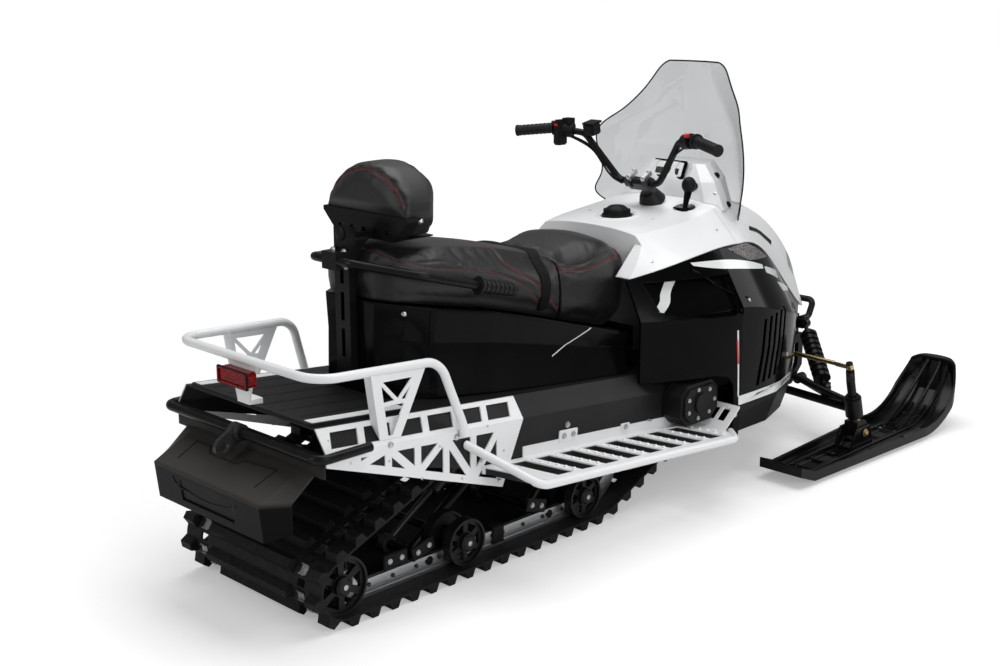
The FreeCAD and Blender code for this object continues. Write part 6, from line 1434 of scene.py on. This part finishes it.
def deck_and_base_lines():
    """A white line painted on the seat base as the highlight along its edge, white strips on the deck's
    edges, and the base's moulded seam.
    """
    base = surface_tree("seat_base")
    # Painted highlight: a white line along the seat base's edge
    side_patches("base_painted_highlight", base, base_painted_highlight, "white_film_and_painted_highlight")
    deck = surface_tree("rear_deck")
    low, high = box("rear_deck")
    for side, word in ((-1, "right"), (1, "left")):
        ends = (low.x + strip_end, high.x - strip_end)
        edges = [[Vector((x, side * (high.y - inset), high.z)) for x in ends] for inset in strip_insets]
        patch(f"deck_strip_{word}", deck, *edges, -z_way, "white_powder_coat")
    tube_piece("base_seam", two_lines(base, base_seam_line), crease_radius, "black_satin_panel",
               sides=thin_tube_sides)


# The tabs that join the running boards to the tunnel
tab_y = 321
large_tab_place = (-434, tab_y, 330)
small_tab_place = (-176, tab_y, 294)
tab_slope = -0.09
large_tab = (80.0 * mm, 38.0 * mm, 5.0 * mm)
small_tab = (42.0 * mm, 28.0 * mm, 5.0 * mm)
tab_bolt_marks = [(-454, tab_y, 334), (-414, tab_y, 331), (-176, tab_y, 297)]
board_bolt_marks = [(-434, -318, 362), (-60, -322, 290)]


def board_details():
    """White tabs along the running boards' inner edge, with their bolts."""
    along = x_way + z_way * tab_slope
    for name, place, size in (("board_tabs", large_tab_place, large_tab),
                              ("board_tabs_small", small_tab_place, small_tab)):
        blocks(name, [(beside(side, *place), along, y_way * side) for side in (1, -1)], size, clamp_bevel,
               "white_powder_coat")
    heads = [(beside(side, *mark) + y_way * (side * large_tab[2] / 2), y_way * side)
             for mark in tab_bolt_marks for side in (1, -1)]
    bolts("tab_bolts", heads, plate_bolt)
    boards = surface_tree("running_boards", "tunnel")
    bolts("board_bolts", seated(boards, two_sides(board_bolt_marks)), plate_bolt)


# The skis and their spindles
ski_y = 500
rib_insets = (-108, -62, -24, 24, 62, 108)
rib_points = 14
rib_start = 500
rib_end = 1330
rib_radius = 5.0 * mm
king_foot = (868, 500, 118)
king_head = (822, 500, 268)
sleeve_start = -20.0 * mm
sleeve_length = 44.0 * mm
sleeve_flare = 12.0 * mm
sleeve_radius = 18.0 * mm
sleeve_foot_share = 1.3
rod_end_place = (884, 448, 303)
rod_end_rise_share = 0.02
rod_end_radius = 12.5 * mm
rod_end_length = 46.0 * mm
web_low = (1372, 500, 110)
web_high = (1429, 500, 236)
web_depth = 8.0 * mm
web_size = (138.0 * mm, 104.0 * mm, 5.0 * mm)
loop_line = [(1120, 26, 1.0), (1150, 36, 1.0), (1280, 108, 1.0), (1390, 190, 0.9), (1424, 226, 0.8)]
loop_foot = (1106, 24)
loop_half = 30
loop_radius = 6.5 * mm
loop_bolt = 6.5 * mm
saddle_half = 60
saddle_z = 72
saddle_bolt = 11.0 * mm


def ski_ribs(side, word):
    """Raised ribs along the ski's top."""
    top = surface_tree(f"ski_{word}")
    xs = [rib_start + (rib_end - rib_start) * index / (rib_points - 1) for index in range(rib_points)]
    lines = []
    for inset in rib_insets:
        hits = [cast_down(top, at(x, side * (ski_y + inset), 0))[0] for x in xs]
        lines.append([hit for hit in hits if hit is not None])
    tube_piece(f"ski_ribs_{word}", lines, rib_radius, "ski_plastic", f"ski_{word}", thin_tube_sides)


def spindle_details(side, word):
    """The zinc sleeve on the spindle and the nut on the tie rod's outer end."""
    foot, head = beside(side, *king_foot), beside(side, *king_head)
    way = (head - foot).normalized()
    shape = bmesh.new()
    add_cone(shape, foot + way * sleeve_start, way, sleeve_radius, sleeve_radius, sleeve_length, round_sides)
    add_cone(shape, foot + way * (sleeve_start - sleeve_flare), way, sleeve_radius * sleeve_foot_share,
             sleeve_radius, sleeve_flare, round_sides)
    mesh_piece(f"spindle_sleeve_{word}", shape, "yellow_zinc", f"ski_{word}")
    shape = bmesh.new()
    inwards = z_way * rod_end_rise_share - y_way * side
    add_cone(shape, beside(side, *rod_end_place), inwards, rod_end_radius, rod_end_radius, rod_end_length,
             hexagon)
    mesh_piece(f"rod_end_{word}", shape, "clear_zinc", f"tie_rod_{word}")


def ski_fittings(side, word):
    """The plate in the ski's tip, the loop with its bolts, and the saddle's bolts."""
    body = f"ski_{word}"
    low, high = beside(side, *web_low), beside(side, *web_high)
    rise = (high - low).normalized()
    behind = Vector((rise.z, 0.0, -rise.x))
    blocks(f"ski_web_{word}", [((low + high) / 2 + behind * web_depth, rise, -behind)], web_size, panel_bevel,
           "ski_plastic", body)
    bars, ends = [], []
    for apart in (loop_half, -loop_half):
        bars.append([at(x, side * ski_y + apart * share, z) for x, z, share in loop_line])
        ends.append((at(loop_foot[0], side * ski_y + apart, loop_foot[1]), z_way))
    tube_piece(f"ski_loop_{word}", bars, loop_radius, "ski_plastic", body)
    bolts(f"loop_bolts_{word}", ends, loop_bolt, body=body)
    saddle = surface_tree(f"ski_{word}", f"spindle_{word}")
    marks = [(king_foot[0], side * (ski_y + apart), saddle_z) for apart in (saddle_half, -saddle_half)]
    bolts(f"saddle_bolts_{word}", seated(saddle, marks), saddle_bolt, "yellow_zinc", body)


screen_edge()
panel_graphics()
panel_trims()
gauge()
dash_fasteners()
fuel_cap_details()
shift_details()
bar_clamps()
bar_switches()
bar_skin = surface_tree("handlebar")
brake_reservoir(bar_skin)
bar_cables(bar_skin)
track_clips()
skid_details()
skid_brackets()
drive_case_bolts()
flap_details()
lamp_details()
rear_fasteners()
deck_and_base_lines()
board_details()
for ski_side, ski_word in ((-1, "right"), (1, "left")):
    ski_ribs(ski_side, ski_word)
    spindle_details(ski_side, ski_word)
    ski_fittings(ski_side, ski_word)

# Stage, light and camera
white = (1.0, 1.0, 1.0, 1.0)
world_strength = 0.2
backdrop_strength = 1.0
floor_half = 30.0
floor_drop = 1.0 * mm
floor_sockets = {"Roughness": 0.9, "Specular IOR Level": 0.1}
floor_tone_scale = 1.5
floor_tones = {0.0: (0.86, 0.86, 0.86), 1.0: (0.88, 0.88, 0.88)}
floor_glow_near = 0.3
floor_glow_far = 0.85
floor_near = 1.6
floor_far = 5.5
# Soft lamps: place, aim, width, height and power
softboxes = {
    "top_light": ((0.2, 0.0, 4.2), (0.0, 0.0, 0.4), 4.5, 3.0, 135.0),
    "side_light": ((-1.5, -4.6, 2.3), (0.0, 0.0, 0.5), 3.6, 1.6, 78.0),
    "rear_light": ((-5.0, 1.2, 2.6), (-0.4, 0.0, 0.5), 1.6, 2.4, 44.0),
    "front_light": ((4.6, -2.2, 2.6), (0.6, 0.0, 0.6), 2.2, 2.6, 40.0),
}
camera_place = (-3.283, -2.849, 1.602)
camera_yaw = math.radians(44.538)
camera_pitch = math.radians(14.264)
camera_lens = 49.885
camera_sensor = 36.0


def world_light():
    """A white studio: even light on the object and plain white behind it."""
    world = bpy.data.worlds.new("studio")
    bpy.context.scene.world = world
    world.use_nodes = True
    tree = world.node_tree
    tree.nodes.clear()
    output = add_node(tree, "OutputWorld")
    lit = add_node(tree, "Background", {"Color": white, "Strength": world_strength})
    seen = add_node(tree, "Background", {"Color": white, "Strength": backdrop_strength})
    mix = add_node(tree, "MixShader")
    path = add_node(tree, "LightPath")
    either = add_node(tree, "Math", operation="MAXIMUM")
    tree.links.new(path.outputs["Is Camera Ray"], either.inputs[0])
    tree.links.new(path.outputs["Is Transmission Ray"], either.inputs[1])
    tree.links.new(either.outputs["Value"], mix.inputs["Fac"])
    tree.links.new(lit.outputs["Background"], mix.inputs[1])
    tree.links.new(seen.outputs["Background"], mix.inputs[2])
    tree.links.new(mix.outputs["Shader"], output.inputs["Surface"])


def floor_finish():
    """Pale matt floor that also glows for the camera, more so away from the object."""
    finish = Finish("pale_floor", floor_sockets)
    finish.colours(finish.noise(floor_tone_scale), floor_tones)
    away = finish.node("VectorMath", operation="LENGTH")
    glow = finish.node("Emission")
    dark = finish.node("Emission", {"Strength": 0.0})
    path = finish.node("LightPath")
    seen = finish.node("MixShader")
    both_lights = finish.node("AddShader")
    finish.link(finish.place, away.inputs[0])
    reach = finish.spread(away.outputs["Value"], floor_glow_near, floor_glow_far, floor_near, floor_far)
    finish.link(reach, glow.inputs["Strength"])
    finish.link(path.outputs["Is Camera Ray"], seen.inputs["Fac"])
    finish.link(dark.outputs["Emission"], seen.inputs[1])
    finish.link(glow.outputs["Emission"], seen.inputs[2])
    finish.link(finish.shader.outputs["BSDF"], both_lights.inputs[0])
    finish.link(seen.outputs["Shader"], both_lights.inputs[1])
    finish.link(both_lights.outputs["Shader"], finish.tree.nodes["Material Output"].inputs["Surface"])
    return finish.material


def floor():
    """A pale floor that takes the object's shadow and is otherwise as white as the backdrop."""
    mesh = bpy.data.meshes.new("floor")
    corners = [(floor_half * x, floor_half * y, 0.0) for x, y in ((-1, -1), (1, -1), (1, 1), (-1, 1))]
    mesh.from_pydata(corners, [], [range(len(corners))])
    mesh.materials.append(floor_finish())
    piece = linked("floor", mesh)
    piece.location.z = -floor_drop


def softbox(name, place, aim, width, height, power):
    """A rectangular soft lamp that points at a place."""
    lamp = bpy.data.lights.new(name, "AREA")
    lamp.shape = "RECTANGLE"
    lamp.size = width
    lamp.size_y = height
    lamp.energy = power
    lamp_object = linked(name, lamp)
    lamp_object.location = place
    lamp_object.rotation_euler = (Vector(aim) - Vector(place)).to_track_quat("-Z", "Y").to_euler()


def photo_camera():
    """The photograph's view, worked out from its symmetric pairs."""
    camera = bpy.data.cameras.new("photo_view")
    camera.lens = camera_lens
    camera.sensor_width = camera_sensor
    camera_object = linked("photo_view", camera)
    level = math.cos(camera_pitch)
    look = Vector((math.cos(camera_yaw) * level, math.sin(camera_yaw) * level, -math.sin(camera_pitch)))
    camera_object.location = camera_place
    camera_object.rotation_euler = look.to_track_quat("-Z", "Y").to_euler()
    bpy.context.scene.camera = camera_object


world_light()
floor()
for light_name, light in softboxes.items():
    softbox(light_name, *light)
photo_camera()
bpy.context.scene.view_settings.view_transform = "Standard"
